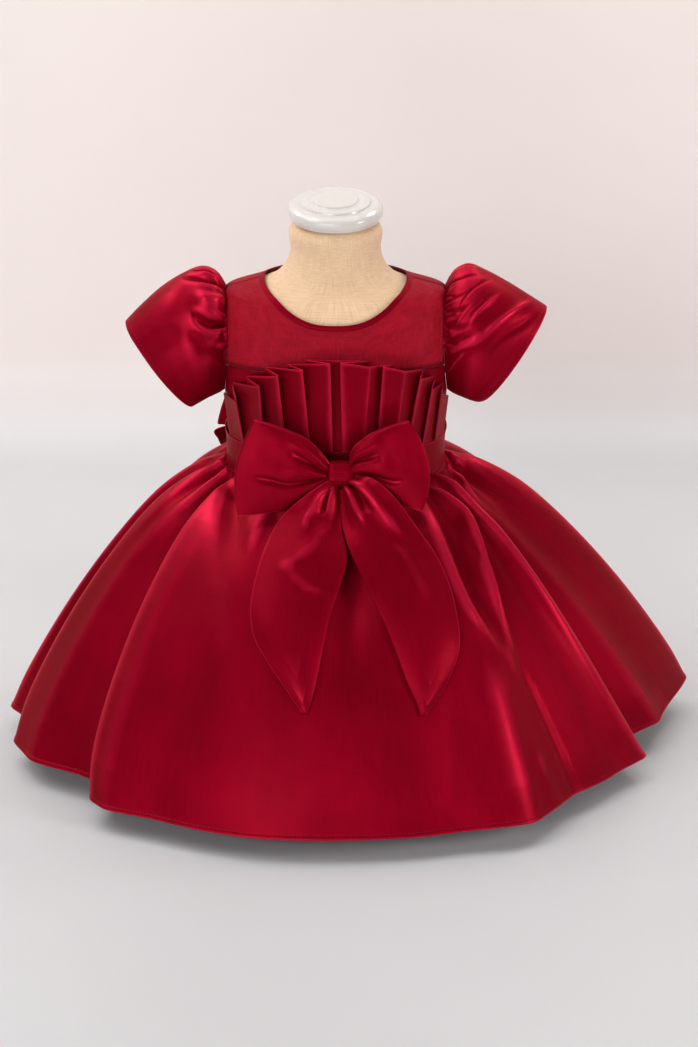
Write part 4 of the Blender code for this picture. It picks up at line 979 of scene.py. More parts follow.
# hem angle, hem radius, hem height, waist angle, swing and sinking of its middle
SKIRT_FOLDS = (
    (-172, 262, 19, -173, 0, 0),
    (-160, 238, 19, -163, 0, 9),
    (-146, 266, 19, -150, 3, 0),
    (-135, 243, 19, -139, 2, 8),
    (-118, 274, 19, -124, -3, 0),
    (-105, 252, 20, -113, -2, 9),
    (-90, 280, 19, -97, 0, 0),
    (-82, 262, 19, -88, -3, 6),
    (-75.6, 280, 19, -80, -7, 0),
    (-67, 276, 19, -74, -6, 4),
    (-52.5, 250, 21, -65, -6, 17),
    (-47.5, 271, 19, -61, -6, 0),
    (-43, 274, 19, -53, -5, 0),
    (-31, 262, 19, -35, -1, 2),
    (-15, 261, 19, -18, 0, 0),
    (2, 257, 19, 2, 0, 0),
    (19, 260, 19, 20, 0, 0),
    (35, 275, 19, 37, 0, 0),
    (48, 262, 20, 51, 0, 2),
    (58, 266, 19, 59, -3, 3),
    (69, 278, 19, 66, -5, 0),
    (73.5, 256, 22, 72, -4, 20),
    (81, 277, 24, 84, -2, 17),
    (98, 307, 29, 100, 0, 0),
    (108, 266, 24, 108, 0, 6),
    (121, 282, 19, 122, 3, 0),
    (134, 248, 19, 134, 0, 9),
    (147, 270, 19, 147, -3, 0),
    (160, 240, 19, 160, 0, 8),
    (172, 264, 19, 172, 0, 0),
)
# how far the cones' crests are rounded, in degrees, and how blunt they are before that
FOLD_ROUNDING, FOLD_SHAPE = 1.1, 1.25
# the degrees between the hem's traced spots, and the spots that rounding takes in
HEM_STEP, ROUNDING_STEPS = 0.125, 32
# the panels from seam to seam, by hem angle
SKIRT_PANELS = (("back_left", -180, -86), ("front", -86, 88), ("back_right", 88, 180))
# the cloth's stand-off from the waist, and how strong the painted highlight and shade of its
# folds are
SKIRT_STAND, SKIRT_FOLD_LIGHT = 0.8, 1.15
HEM_DEPTH, HEM_RISE, HEM_LINES = 3.4, 0.45, (2.0, 3.0, 3.4, 3.8, 4.6)
# length, width, height and pitch of the hem's stitches
HEM_STITCH = (2.4, 0.36, 0.4, 3.3)
SKIRT_CUT_LENGTH, SKIRT_CUT_SHARE = 305, 0.62
SKIRT_PITCH, SKIRT_ROWS, SKIRT_EDGE = 2.9, 98, 0.6
# the gathers' number, seed, range of depth and reach, and width and shift as shares
# of their pitch
GATHERS, GATHER_SEED = 72, 11
GATHER_DEPTH, GATHER_REACH = (0.9, 2.9), (0.08, 0.30)
GATHER_WIDTH, GATHER_SHIFT = (0.26, 0.42), (-0.25, 0.25)
# hem angle and share down of the start, middle and end, lift, lean, width from, to
SKIRT_CREASES = (
    (-66, 0.00, -61.5, 0.28, -66, 0.56, 4.5, 1.0, 4, 9),
    (-73, 0.00, -67.5, 0.20, -69, 0.46, -5.0, 0.0, 4, 9),
    (-77, 0.00, -71.0, 0.25, -73, 0.60, 3.5, 0.0, 4, 8),
    (-82, 0.00, -79.0, 0.14, -78, 0.30, -3.0, 0.0, 2, 5),
    (-85, 0.00, -83.0, 0.12, -81, 0.26, 3.0, 0.0, 2, 5),
    (-59, 0.00, -55.0, 0.22, -51, 0.42, -6.0, 0.0, 3, 7),
    (-44, 0.12, -38.0, 0.34, -30, 0.50, -6.5, 0.0, 6, 9),
    (-31, 0.16, -29.0, 0.37, -27, 0.54, 1.8, 0.0, 6, 9),
    (-23, 0.20, -23.0, 0.34, -22, 0.48, -1.6, 0.0, 5, 8),
    (-36, 0.42, -29.0, 0.60, -22, 0.80, 3.0, 0.0, 16, 28),
    (61, 0.00, 66.5, 0.15, 69, 0.38, 3.5, 0.0, 4, 6),
    (76, 0.00, 75.5, 0.20, 73, 0.42, -4.5, 0.0, 4, 8),
    (82, 0.00, 83.5, 0.15, 78, 0.38, 5.5, 0.0, 3, 5),
    (85, 0.00, 88.0, 0.18, 83, 0.46, -6.0, 0.0, 3, 9),
    (96, 0.02, 93.0, 0.10, 92, 0.22, 3.0, 0.0, 3, 6),
    (61, 0.10, 63.0, 0.36, 60, 0.70, -4.5, 0.0, 6, 16),
    (65, 0.10, 66.3, 0.40, 66, 0.92, 3.2, 0.0, 4, 8),
    (41, 0.60, 35.5, 0.74, 30, 1.00, 3.0, 0.0, 18, 34),
    (40.5, 0.80, 41.0, 0.92, 42, 1.00, 1.5, 0.8, 5, 12),
    (44.4, 0.65, 46.8, 0.80, 48.6, 1.00, -2.0, 1.4, 3, 6),
    (27.5, 0.66, 24.5, 0.80, 22.5, 1.00, -0.8, 0.5, 6, 12),
    (-3, 0.10, -4.0, 0.40, -6, 0.90, 2.0, 0.0, 7, 15),
    (-9, 0.10, -8.0, 0.40, -9, 0.66, -2.5, 0.0, 6, 12),
    (6, 0.26, 5.0, 0.46, 3, 0.74, -12.0, 0.0, 10, 20),
    (108, 0.00, 111.0, 0.20, 110, 0.50, -4.0, 0.0, 4, 10),
    (128, 0.00, 126.0, 0.18, 128, 0.46, 4.0, 0.0, 4, 8),
    (141, 0.00, 140.0, 0.24, 143, 0.60, -4.5, 0.0, 4, 11),
    (155, 0.00, 154.0, 0.16, 151, 0.44, 4.0, 0.0, 3, 7),
    (174, 0.00, 168.0, 0.22, 166, 0.52, -3.5, 0.0, 4, 9),
    (-176, 0.00, -168.0, 0.20, -167, 0.48, 3.5, 0.0, 4, 8),
    (-154, 0.00, -155.0, 0.22, -152, 0.56, -4.0, 0.0, 4, 10),
    (-141, 0.00, -139.0, 0.18, -141, 0.40, 4.0, 0.0, 3, 8),
    (-127, 0.00, -126.0, 0.24, -129, 0.58, -4.0, 0.0, 4, 11),
    (-112, 0.00, -110.0, 0.18, -107, 0.44, 3.5, 0.0, 4, 8),
    (-97, 0.00, -97.0, 0.16, -99, 0.38, -4.0, 0.0, 3, 8),
)
# a deep fold that hangs from the waist beside the bow and ends in a point:
# share down, hem angle of its left and right edge, depth, height of its rim
SWAG = (
    (0.10, 44.0, 48.0, 0, 0), (0.20, 41.0, 53.0, 3, 3), (0.28, 38.6, 56.6, 6, 5),
    (0.35, 37.6, 57.4, 8, 7.5), (0.44, 36.2, 52.6, 9.5, 7.5), (0.51, 35.8, 48.8, 9.5, 7),
    (0.565, 36.6, 47.0, 8, 6), (0.605, 38.0, 46.0, 4, 4), (0.65, 39.5, 45.0, 0, 2),
    (0.74, 40.5, 44.0, 0, 0),
)
# width of its rim inside and outside its right edge, and at its left edge
RIM_INSIDE, RIM_OUTSIDE, RIM_LEFT = 10.0, 3.4, 8.0
# how deep and wide the cloth sinks beyond the right edge, and the left rim's share
RIM_DROP, RIM_DROP_WIDTH, RIM_LEFT_SHARE = 0.7, 18, 0.5


def polar_waist(angle):
    """The points of the waist that lie in directions from the middle."""
    _, points, _ = girth_line(BAND_FOOT - SEAM_GAP)
    turns = np.unwrap(np.arctan2(points[:, 0], -points[:, 1]))
    radius = np.interp(angle, turns, np.linalg.norm(points, axis=1)) + SKIRT_STAND
    return radius * np.sin(angle), -radius * np.cos(angle)


def trace_hem():
    """The hem as closely spaced spots: angle, radius, height, waist angle, swing,
    sinking, and the cloth's length so far."""
    folds = np.array(SKIRT_FOLDS, float)
    turn = np.array((360, 0, 0, 360, 0, 0))
    wrapped = np.vstack((folds[-1] - turn, folds, folds[0] + turn))
    angles = np.linspace(-180, 180, int(360 / HEM_STEP) + 1)
    spot = np.clip(np.searchsorted(wrapped[:, 0], angles) - 1, 0, len(wrapped) - 2)
    low, high = wrapped[spot], wrapped[spot + 1]
    share = (angles - low[:, 0]) / (high[:, 0] - low[:, 0])
    crest = np.where(low[:, 1] > high[:, 1], share, 1 - share)
    radius = np.maximum(low[:, 1], high[:, 1]) - abs(high[:, 1] - low[:, 1]) * np.sin(
        crest * math.pi / 2) ** FOLD_SHAPE
    reach = np.arange(-ROUNDING_STEPS, ROUNDING_STEPS + 1)
    soft = np.exp(-(reach * HEM_STEP / FOLD_ROUNDING) ** 2)
    around = np.concatenate(
        (radius[-ROUNDING_STEPS - 1:-1], radius, radius[1:ROUNDING_STEPS + 1]))
    radius = np.convolve(around, soft / soft.sum(), "valid")
    height, sunk = (lerp(low[:, k], high[:, k], ease(share)) for k in (2, 5))
    waist, swing = (lerp(low[:, k], high[:, k], share) for k in (3, 4))
    angles, waist, swing = np.radians(angles), np.radians(waist), np.radians(swing)
    spots = np.column_stack((radius * np.sin(angles), -radius * np.cos(angles)))
    steps = np.linalg.norm(np.diff(spots, axis=0), axis=1)
    lengths = np.concatenate(([0], np.cumsum(steps)))
    return angles, radius, height, waist, swing, sunk, lengths


hem_angles, hem_radii, hem_heights, hem_waists, hem_swings, hem_sinks, hem_lengths = trace_hem()


def skirt_line(share):
    """Spread and fall at shares of the way down, and their change along it."""
    table = [(k / (len(SKIRT_LINE) - 1), *row) for k, row in enumerate(SKIRT_LINE)]
    spread, fall = columns_of(curve(table, share))
    ahead = curve(table, np.minimum(share + 0.01, 1)) - curve(table, np.maximum(share - 0.01, 0))
    return spread, fall, ahead


def gathers(waist, share):
    """How far the small gathers under the waistband lift the cloth."""
    chance = np.random.default_rng(GATHER_SEED)
    lift = np.zeros(np.shape(waist))
    pitch = 2 * math.pi / GATHERS
    for k in range(GATHERS):
        middle = -math.pi + pitch * (k + chance.uniform(*GATHER_SHIFT))
        width = pitch * chance.uniform(*GATHER_WIDTH)
        depth = chance.uniform(*GATHER_DEPTH)
        reach = chance.uniform(*GATHER_REACH)
        spread = width * (1 + 1.6 * share / reach)
        fade = np.clip(1 - share / reach, 0, 1) ** 1.4
        lift += depth * fade * np.exp(-((waist - middle) / spread) ** 2)
    return lift * ease(share / 0.03)


def creases(rows, place, share, scale, end=0.5):
    """How far creases lift the cloth: rows as above, scale the length of a unit of place."""
    lift = np.zeros(np.shape(share))
    for p0, s0, p1, s1, p2, s2, height, lean, narrow, wide in rows:
        near = (share >= s0) & (share <= s2)
        down = share[near]
        line = (p0 * (down - s1) * (down - s2) / (s0 - s1) / (s0 - s2)
                + p1 * (down - s0) * (down - s2) / (s1 - s0) / (s1 - s2)
                + p2 * (down - s0) * (down - s1) / (s2 - s0) / (s2 - s1))
        along = (down - s0) / (s2 - s0)
        across = (place[near] - line) * scale[near] / lerp(narrow, wide, along)
        # a crease that comes out of a seam starts abruptly
        fade = ease(along / (0.12 if s0 == 0 else 0.3))
        if s2 < 1:
            fade = fade * ease((1 - along) / end)
        lift[near] += fade * np.exp(-across * across) * (height + lean * across)
    return lift


def swag(angle, share, radius):
    """The hanging fold beside the bow: hollow inside, with a rim that drops away."""
    left, right, depth, rim = columns_of(curve(SWAG, share))
    middle, half = (left + right) / 2, (right - left) / 2
    inside = 1 - ease(abs(angle - middle) / np.maximum(half, 0.05))
    beyond = np.radians(angle - right) * radius
    before = np.radians(left - angle) * radius
    crest = np.exp(-(beyond / np.where(beyond < 0, RIM_INSIDE, RIM_OUTSIDE)) ** 2)
    drop = np.where(beyond > 0, (1 - crest) * np.exp(-abs(beyond) / RIM_DROP_WIDTH), 0)
    crest = crest - RIM_DROP * drop + RIM_LEFT_SHARE * np.exp(-(before / RIM_LEFT) ** 2)
    shown = (share > SWAG[0][0]) & (share < SWAG[-1][0])
    return np.where(shown, rim * crest - depth * inside, 0)


def skirt_point(length, share):
    """Points of the skirt by the cloth's length round the hem and share down."""
    hem_turn, radius, hem_height, waist, swing, sunk = (
        np.interp(length, hem_lengths, column)
        for column in (hem_angles, hem_radii, hem_heights, hem_waists, hem_swings, hem_sinks))
    x0, y0 = polar_waist(waist)
    z0 = BAND_FOOT - SEAM_GAP
    x1, y1 = radius * np.sin(hem_turn), -radius * np.cos(hem_turn)
    spread, fall, ahead = skirt_line(share)
    run, drop = np.hypot(x1 - x0, y1 - y0), z0 - hem_height
    slope = np.hypot(ahead[:, 0] * run, ahead[:, 1] * drop)
    outward, upward = ahead[:, 1] * drop / slope, ahead[:, 0] * run / slope
    x, y = lerp(x0, x1, spread), lerp(y0, y1, spread)
    angle, away = np.degrees(hem_turn), np.hypot(x, y)
    lift = gathers(waist, share) - sunk * 4 * (spread ** 0.5 - spread)
    lift += creases(SKIRT_CREASES, angle, share, np.radians(away))
    lift += swag(angle, share, away)
    lift += HEM_RISE * ease(((share - 1) * SKIRT_CUT_LENGTH + HEM_DEPTH) / 0.9 + 0.5)
    x, y = x + (x1 - x0) / run * outward * lift, y + (y1 - y0) / run * outward * lift
    turn = swing * 4 * share * (1 - share)
    across = x * np.cos(turn) - y * np.sin(turn)
    along = x * np.sin(turn) + y * np.cos(turn)
    return np.column_stack((across, along, z0 - drop * fall + upward * lift))


def panel_ends(start, end):
    """Where hem angles lie along the cloth's length."""
    return np.interp(np.radians((start, end)), hem_angles, hem_lengths)


def build_skirt(finish):
    for name, start, end in SKIRT_PANELS:
        first, last = panel_ends(start, end)
        wide = last - first
        columns = int(wide / SKIRT_PITCH)
        hem = np.array(HEM_LINES) / SKIRT_CUT_LENGTH
        rises = np.sort(np.concatenate((even(SKIRT_ROWS, 0.003), hem)))
        shape, u, v = grid(even(columns, SKIRT_EDGE / wide), rises, (wide, SKIRT_CUT_LENGTH))
        length = lerp(first + SEAM_GAP / 2, last - SEAM_GAP / 2, u)
        place_points(shape, skirt_point(length, 1 - v))
        # painted highlight on crests and turned edges, painted shade in hollows
        mark_folds(shape, columns, "b", SKIRT_FOLD_LIGHT)
        area = SKIRT_CUT_SHARE * wide * SKIRT_CUT_LENGTH * MM * MM
        finish_cloth(shape, "skirt_satin_" + name, finish, "satin", "skirt_" + name,
                     (wide, SKIRT_CUT_LENGTH), "gathered", "waistband_satin", area=area)


def sew_hem(finish):
    rows = []
    share = 1 - (HEM_DEPTH + 0.5) / SKIRT_CUT_LENGTH
    for _, start, end in SKIRT_PANELS:
        first, last = panel_ends(start, end)
        length = np.arange(first + 2, last - 2, HEM_STITCH[3])
        down = np.full(length.shape, share)
        here, beside = skirt_point(length, down), skirt_point(length + 0.3, down)
        rows.append((here, beside - here, skirt_point(length, down - 0.002) - here))
    sew("hem_stitches", finish, HEM_STITCH, rows)


build_skirt(satin)
thread_red = make_thread("red thread", THREAD_RED)
sew_hem(thread_red)

# ------------------------------------------------------------------ sleeves
# Short caps of satin, gathered into a puff at the head and sewn into the armholes.
# They flare towards the open hem, which is turned under and stitched.

# share, top across, top height, under across, under height, half depth
LEFT_SLEEVE = (
    (0.00, 90.5, 397.0, 92.5, 307.6, 29.0),
    (0.12, 96.5, 407.5, 95.5, 305.4, 33.0),
    (0.28, 109.0, 412.5, 100.0, 303.2, 37.0),
    (0.45, 124.0, 406.8, 105.0, 300.8, 38.5),
    (0.65, 143.0, 394.5, 110.0, 297.8, 37.5),
    (0.85, 161.5, 377.5, 115.5, 294.4, 35.0),
    (1.00, 172.7, 365.5, 118.4, 292.8, 33.0),
)
RIGHT_SLEEVE = (
    (0.00, 90.5, 397.0, 92.5, 307.6, 29.0),
    (0.12, 96.0, 408.0, 96.0, 305.0, 33.0),
    (0.28, 108.5, 414.5, 101.0, 302.6, 37.5),
    (0.45, 123.0, 408.8, 106.0, 300.6, 40.0),
    (0.65, 143.0, 397.5, 112.0, 298.2, 39.0),
    (0.85, 162.5, 385.0, 117.5, 297.0, 36.0),
    (1.00, 173.2, 378.0, 121.0, 298.0, 33.0),
)
SLEEVE_SEAM, SLEEVE_COLUMNS, SLEEVE_ROWS = 0.2, 256, 76
SLEEVE_CUT, SLEEVE_AREA = (262, 96), 0.0185
SLEEVE_STITCHES, SLEEVE_HEM = 74, 0.955
# creases as the skirt's, by turn in degrees: 0 is the shoulder and 90 the front
LEFT_SLEEVE_CREASES = (
    (60, 0.0, 70, 0.17, 56, 0.44, -8.0, -4.0, 2.2, 4.6),
    (38, 0.0, 48, 0.15, 42, 0.40, 4.0, 0.0, 5.0, 7.0),
    (76, 0.0, 82, 0.20, 66, 0.62, -2.0, 0.0, 3.0, 8.0),
    (16, 0.0, 25, 0.18, 8, 0.48, -5.5, -2.5, 1.5, 4.0),
    (3, 0.0, 10, 0.15, 2, 0.40, -4.5, -2.0, 1.2, 3.2),
    (9, 0.0, 17, 0.15, 7, 0.36, 2.0, 0.0, 1.4, 3.4),
    (-12, 0.0, -17, 0.16, -12, 0.40, -3.4, 1.0, 1.2, 3.4),
    (-31, 0.0, -37, 0.18, -34, 0.46, -3.6, 1.0, 1.4, 4.4),
    (-53, 0.0, -63, 0.18, -58, 0.44, -5.0, 2.0, 2.0, 6.0),
    (104, 0.0, 98, 0.20, 88, 0.55, -1.4, 0.0, 3.5, 8.0),
    (-104, 0.0, -98, 0.22, -90, 0.55, -1.4, 0.0, 3.5, 8.0),
    (30, 0.45, 34, 0.72, 38, 1.0, 1.3, 0.0, 7.0, 14.0),
    (72, 0.50, 64, 0.76, 58, 1.0, -1.4, 0.0, 7.0, 12.0),
    (-48, 0.50, -52, 0.75, -54, 1.0, -1.4, 0.0, 7.0, 12.0),
)
RIGHT_SLEEVE_CREASES = (
    (-10, 0.0, -5, 0.15, -3, 0.38, -5.5, 2.5, 1.6, 4.2),
    (60, 0.17, 42, 0.31, 12, 0.50, -1.8, 1.4, 1.0, 1.7),
    (72, 0.31, 51, 0.46, 26, 0.60, 1.6, 0.0, 2.0, 3.0),
    (66, 0.32, 54, 0.41, 40, 0.50, -1.3, 0.0, 0.9, 1.5),
    (76, 0.15, 64, 0.25, 52, 0.36, 1.0, 0.0, 0.8, 1.4),
    (98, 0.05, 92, 0.28, 70, 0.60, 1.8, -1.0, 2.0, 5.0),
    (76, 0.48, 54, 0.65, 6, 0.86, 1.8, -1.2, 4.0, 7.0),
    (84, 0.58, 60, 0.74, 24, 0.95, -1.5, 0.0, 4.0, 7.0),
    (28, 0.0, 36, 0.07, 46, 0.18, -1.4, 0.0, 0.8, 1.4),
    (124, 0.02, 104, 0.22, 94, 0.36, 0.9, 0.0, 1.2, 2.4),
    (48, 0.0, 58, 0.14, 55, 0.34, -1.6, 0.0, 1.0, 2.4),
    (66, 0.0, 75, 0.16, 71, 0.36, -1.2, 0.0, 0.9, 2.0),
    (14, 0.0, 24, 0.16, 18, 0.38, -1.8, 0.0, 1.0, 2.6),
    (38, 0.0, 46, 0.16, 36, 0.36, -1.4, 0.0, 0.9, 2.2),
    (84, 0.0, 86, 0.14, 80, 0.40, -1.2, 0.0, 1.0, 3.0),
    (-32, 0.0, -39, 0.18, -34, 0.46, -3.6, 1.0, 1.4, 4.4),
    (-54, 0.0, -61, 0.20, -56, 0.44, -3.4, 1.0, 1.6, 5.0),
    (-100, 0.0, -96, 0.20, -88, 0.55, -1.4, 0.0, 3.5, 8.0),
)
# the head's fine gathers: number, seed, how far round they go, shift, length, depth
HEAD_GATHERS, HEAD_SEED, HEAD_REACH = 30, 5, 88
HEAD_SHIFT, HEAD_LENGTH, HEAD_DEPTH = (-2, 2), (0.09, 0.24), (0.5, 1.3)
SLEEVES = (("left", LEFT_SLEEVE, LEFT_SLEEVE_CREASES, -1),
           ("right", RIGHT_SLEEVE, RIGHT_SLEEVE_CREASES, 1))


def armhole_point(turn):
    """Points of the armhole: turn 0 is the shoulder, +90 degrees the front."""
    height = ARMHOLE_CENTRE + ARMHOLE_HALF_HEIGHT * np.cos(turn)
    return body_point(height, armhole_angle(height, np.sin(turn) < 0))


def sleeve_ring(lines, share, turn):
    """Points of the sleeve's oval rings, before they are drawn in to the armhole."""
    top_x, top_z, under_x, under_z, depth = columns_of(curve(lines, share))
    across, up = np.cos(turn) / 2, 0.5
    x = (top_x + under_x) * up + (top_x - under_x) * across
    z = (top_z + under_z) * up + (top_z - under_z) * across
    return np.column_stack((x, -depth * np.sin(turn), z))


def head_gathers():
    """Rows for the fine gathers that are sewn into the armhole."""
    chance = np.random.default_rng(HEAD_SEED)
    rows = []
    for start in np.linspace(-HEAD_REACH, HEAD_REACH, HEAD_GATHERS):
        start += chance.uniform(*HEAD_SHIFT)
        end = chance.uniform(*HEAD_LENGTH)
        rows.append((start, 0.0, start * 1.06, end / 2, start * 1.1, end,
                     -chance.uniform(*HEAD_DEPTH), 0.0, 0.8, 2.0))
    return rows


def sleeve_point(lines, rows, share, turn):
    """The sleeve's tube, drawn in to the armhole at its upper end."""
    pull = armhole_point(turn) + (SLEEVE_SEAM, 0, 0) - sleeve_ring(lines, 0 * share, turn)
    point = sleeve_ring(lines, share, turn) + pull * (1 - share[:, None]) ** 4
    top, under = (sleeve_ring(lines, share, 0 * turn + way) for way in (0, math.pi))
    outward = point - (top + under) / 2
    radius = np.linalg.norm(outward, axis=1)
    lift = creases(rows, np.degrees(turn), share, np.radians(radius), 0.4)
    return point + outward / radius[:, None] * lift[:, None]


def build_sleeves(finish):
    for name, lines, rows, side in SLEEVES:
        shape, u, v = grid(even(SLEEVE_COLUMNS), even(SLEEVE_ROWS, 0.008), SLEEVE_CUT)
        turn = math.pi * (2 * u - 1) * side
        points = sleeve_point(lines, [*rows, *head_gathers()], v, turn) * (side, 1, 1)
        place_points(shape, points)
        # painted highlight on crests and turned edges, painted shade in hollows
        mark_folds(shape, SLEEVE_COLUMNS, "t")
        bmesh.ops.remove_doubles(shape, verts=shape.verts, dist=MERGE)
        finish_cloth(shape, "sleeve_satin_" + name, finish, "satin", "sleeve_" + name,
                     SLEEVE_CUT, "gathered", "bodice_front_satin", area=SLEEVE_AREA)


def sew_sleeves(finish):
    rows = []
    turn = np.linspace(-math.pi, math.pi, SLEEVE_STITCHES, endpoint=False)
    share = np.full(turn.shape, SLEEVE_HEM)
    for _, lines, creased, side in SLEEVES:
        here, beside, above = (sleeve_point(lines, creased, share + up, turn + on) * (side, 1, 1)
                               for on, up in ((0, 0), (0.005, 0), (0, -0.005)))
        rows.append((here, beside - here, above - here))
    sew("sleeve_stitches", finish, HEM_STITCH, rows)


build_sleeves(satin)
sew_sleeves(thread_red)

# ------------------------------------------------------------------ front bow
# A ready-made bow of doubled satin: two loops pinched under a knot, with creases
# that run out of the knot, and two long pointed tails that lie over the skirt.

# a loop: its top and its foot from the knot out (share, x, y, z), bulge of the outer
# fold, fullness, facing, cut, creases (as the skirt's, by rise and share)
FRONT_LOOPS = {
    "bow_loop_left": (
        ((0, -2.6, -88, 270.5), (0.1, -9.7, -87.8, 280.1), (0.25, -18.7, -87.5, 290.3),
         (0.58, -38.2, -86.8, 301.2), (1, -63.2, -86, 310.4)),
        ((0, -2.6, -91, 260.6), (0.1, -11.7, -92.5, 254.3), (0.25, -20.6, -94.7, 246.9),
         (0.45, -36, -97.8, 238.5), (0.68, -52.1, -101.2, 237.7), (1, -76.5, -106, 235.3)),
        8.6, 6.0, -1, (172, 66),
        ((0.50, 0.0, 0.66, 0.24, 0.81, 0.55, -4.2, 1.8, 1.1, 3.6),
         (0.76, 0.0, 0.85, 0.25, 0.93, 0.60, 2.6, 0.0, 2.0, 6.0),
         (0.30, 0.0, 0.36, 0.50, 0.42, 0.93, -4.0, -1.4, 1.1, 3.4),
         (0.42, 0.0, 0.49, 0.22, 0.56, 0.60, 1.8, 0.0, 1.6, 8.0),
         (0.12, 0.0, 0.15, 0.25, 0.20, 0.65, 1.6, 0.0, 2.0, 9.0),
         (0.90, 0.0, 0.92, 0.10, 0.94, 0.20, -0.9, 0.0, 0.6, 1.4),
         (0.20, 0.0, 0.22, 0.12, 0.24, 0.26, -1.1, 0.0, 0.6, 1.6),
         (0.62, 0.0, 0.68, 0.10, 0.73, 0.20, -0.8, 0.0, 0.6, 1.4),
         (0.62, 0.35, 0.66, 0.60, 0.72, 0.90, -1.2, 0.0, 5.0, 9.0))),
    "bow_loop_right": (
        ((0, 11.0, -88, 271.5), (0.08, 13.1, -87.8, 283.1), (0.25, 22.7, -87.5, 294.0),
         (0.6, 40.1, -86.8, 303.4), (1, 57.1, -86, 309.3)),
        ((0, 11.0, -91, 261.5), (0.28, 28.7, -95.2, 257.8), (0.62, 48.8, -100.3, 246.4),
         (1, 68.1, -106, 240.0)),
        11.0, 6.0, -1, (144, 62),
        ((0.70, 0.0, 0.62, 0.20, 0.70, 0.46, -4.2, 1.6, 1.1, 3.6),
         (0.58, 0.0, 0.53, 0.20, 0.60, 0.44, 1.6, 0.0, 1.0, 2.4),
         (0.86, 0.0, 0.84, 0.22, 0.90, 0.55, 2.4, 0.0, 2.0, 6.0),
         (0.31, 0.0, 0.22, 0.30, 0.34, 0.74, -4.0, -1.5, 1.1, 3.4),
         (0.42, 0.0, 0.40, 0.25, 0.46, 0.60, 1.6, 0.0, 1.6, 8.0),
         (0.20, 0.0, 0.18, 0.10, 0.17, 0.22, -0.9, 0.0, 0.6, 1.6),
         (0.92, 0.0, 0.93, 0.10, 0.94, 0.20, -0.8, 0.0, 0.6, 1.4),
         (0.60, 0.45, 0.55, 0.70, 0.52, 0.95, -1.0, 0.0, 5.0, 8.0))),
}
# half the space between the layers, and the rear layer's fullness beside the front's
LOOP_GAP, REAR_SHARE = 1.15, 0.5
LOOP_FACE_STEPS, LOOP_FOLD_STEPS, LOOP_ROWS = 50, 8, 66
LOOP_CUT_SHARE = 0.75
# outer and inner edge, from the knot down
LEFT_TAIL = (
    ((-4.4, -94.0, 262.4), (4.4, -94.5, 253.6)),
    ((-24.9, -104.6, 251.6), (4.4, -101.5, 242.6)),
    ((-44.9, -108.0, 232.8), (4.9, -117.6, 227.7)),
    ((-59.0, -128.8, 209.7), (9.3, -135.9, 210.8)),
    ((-66.8, -149.1, 184.2), (3.7, -151.7, 193.1)),
    ((-67.8, -160.5, 169.9), (-3.4, -165.8, 175.6)),
    ((-64.0, -173.2, 155.4), (-7.9, -177.2, 160.6)),
    ((-51.1, -188.9, 138.8), (-12.9, -192.2, 139.4)),
    ((-37.5, -201.9, 122.9), (-17.6, -204.2, 121.3)),
    ((-26.3, -211.4, 109.4), (-22.0, -212.2, 108.5)),
)
RIGHT_TAIL = (
    ((13.7, -94.0, 264.0), (4.8, -94.5, 253.6)),
    ((30.2, -105.0, 266.9), (4.4, -100.5, 245.2)),
    ((48.7, -108.0, 250.8), (5.3, -113.0, 231.1)),
    ((67.3, -116.0, 226.2), (10.9, -130.3, 216.4)),
    ((80.9, -124.7, 208.9), (18.9, -142.4, 203.1)),
    ((91.2, -138.5, 190.2), (28.5, -155.8, 186.1)),
    ((97.4, -154.2, 169.0), (38.8, -168.3, 168.5)),
    ((99.2, -168.8, 149.1), (48.3, -181.4, 148.6)),
    ((93.0, -182.4, 131.6), (56.2, -192.7, 130.1)),
    ((82.5, -195.4, 115.6), (64.1, -201.1, 114.7)),
    ((71.6, -205.6, 104.6), (68.4, -206.5, 104.6)),
)
# creases of the tails, by place from the outer to the inner edge and share down
LEFT_TAIL_CREASES = (
    (0.42, 0.03, 0.55, 0.11, 0.66, 0.19, -4.0, 0.0, 1.0, 2.4),
    (0.55, 0.02, 0.80, 0.13, 0.76, 0.28, 1.5, 0.0, 2.0, 7.0),
    (0.28, 0.02, 0.36, 0.12, 0.50, 0.30, 2.2, 0.0, 2.0, 7.0),
    (0.82, 0.20, 0.62, 0.29, 0.25, 0.40, 1.0, 0.0, 7.0, 12.0),
    (0.24, 0.33, 0.45, 0.40, 0.92, 0.50, 0.9, 0.0, 8.0, 12.0),
    (0.92, 0.00, 0.94, 0.12, 0.92, 0.26, -2.0, 0.0, 1.2, 4.0),
)
RIGHT_TAIL_CREASES = (
    (0.52, 0.0, 0.51, 0.11, 0.51, 0.215, -7.0, 0.0, 1.2, 5.0),
    (0.66, 0.0, 0.66, 0.11, 0.66, 0.26, 2.6, 0.0, 1.4, 3.4),
    (0.34, 0.0, 0.32, 0.12, 0.26, 0.34, 2.8, 0.0, 2.6, 8.0),
    (0.88, 0.0, 0.90, 0.12, 0.86, 0.30, -1.6, 0.0, 1.2, 5.0),
    (0.45, 0.26, 0.40, 0.40, 0.36, 0.60, 1.0, 0.0, 5.0, 9.0),
)
TAIL_CROWN, TAIL_COLUMNS, TAIL_ROWS = 7.0, 48, 124
TAIL_CUT, TAIL_AREA, TAIL_WALL = (66, 190), 0.0086, 1.0
KNOT_PLACE, KNOT_SIZE, KNOT_CUT = (4.5, -88.0, 264.8), (18.8, 15, 19.8), (56, 18.8)
# squareness, how far the folds stand out and the ends roll in, and how much narrower
# the knot is at its top and foot
KNOT_POWER, KNOT_RIDGE, KNOT_ROLL, KNOT_WAIST = 2.5, 0.9, 0.9, 0.10
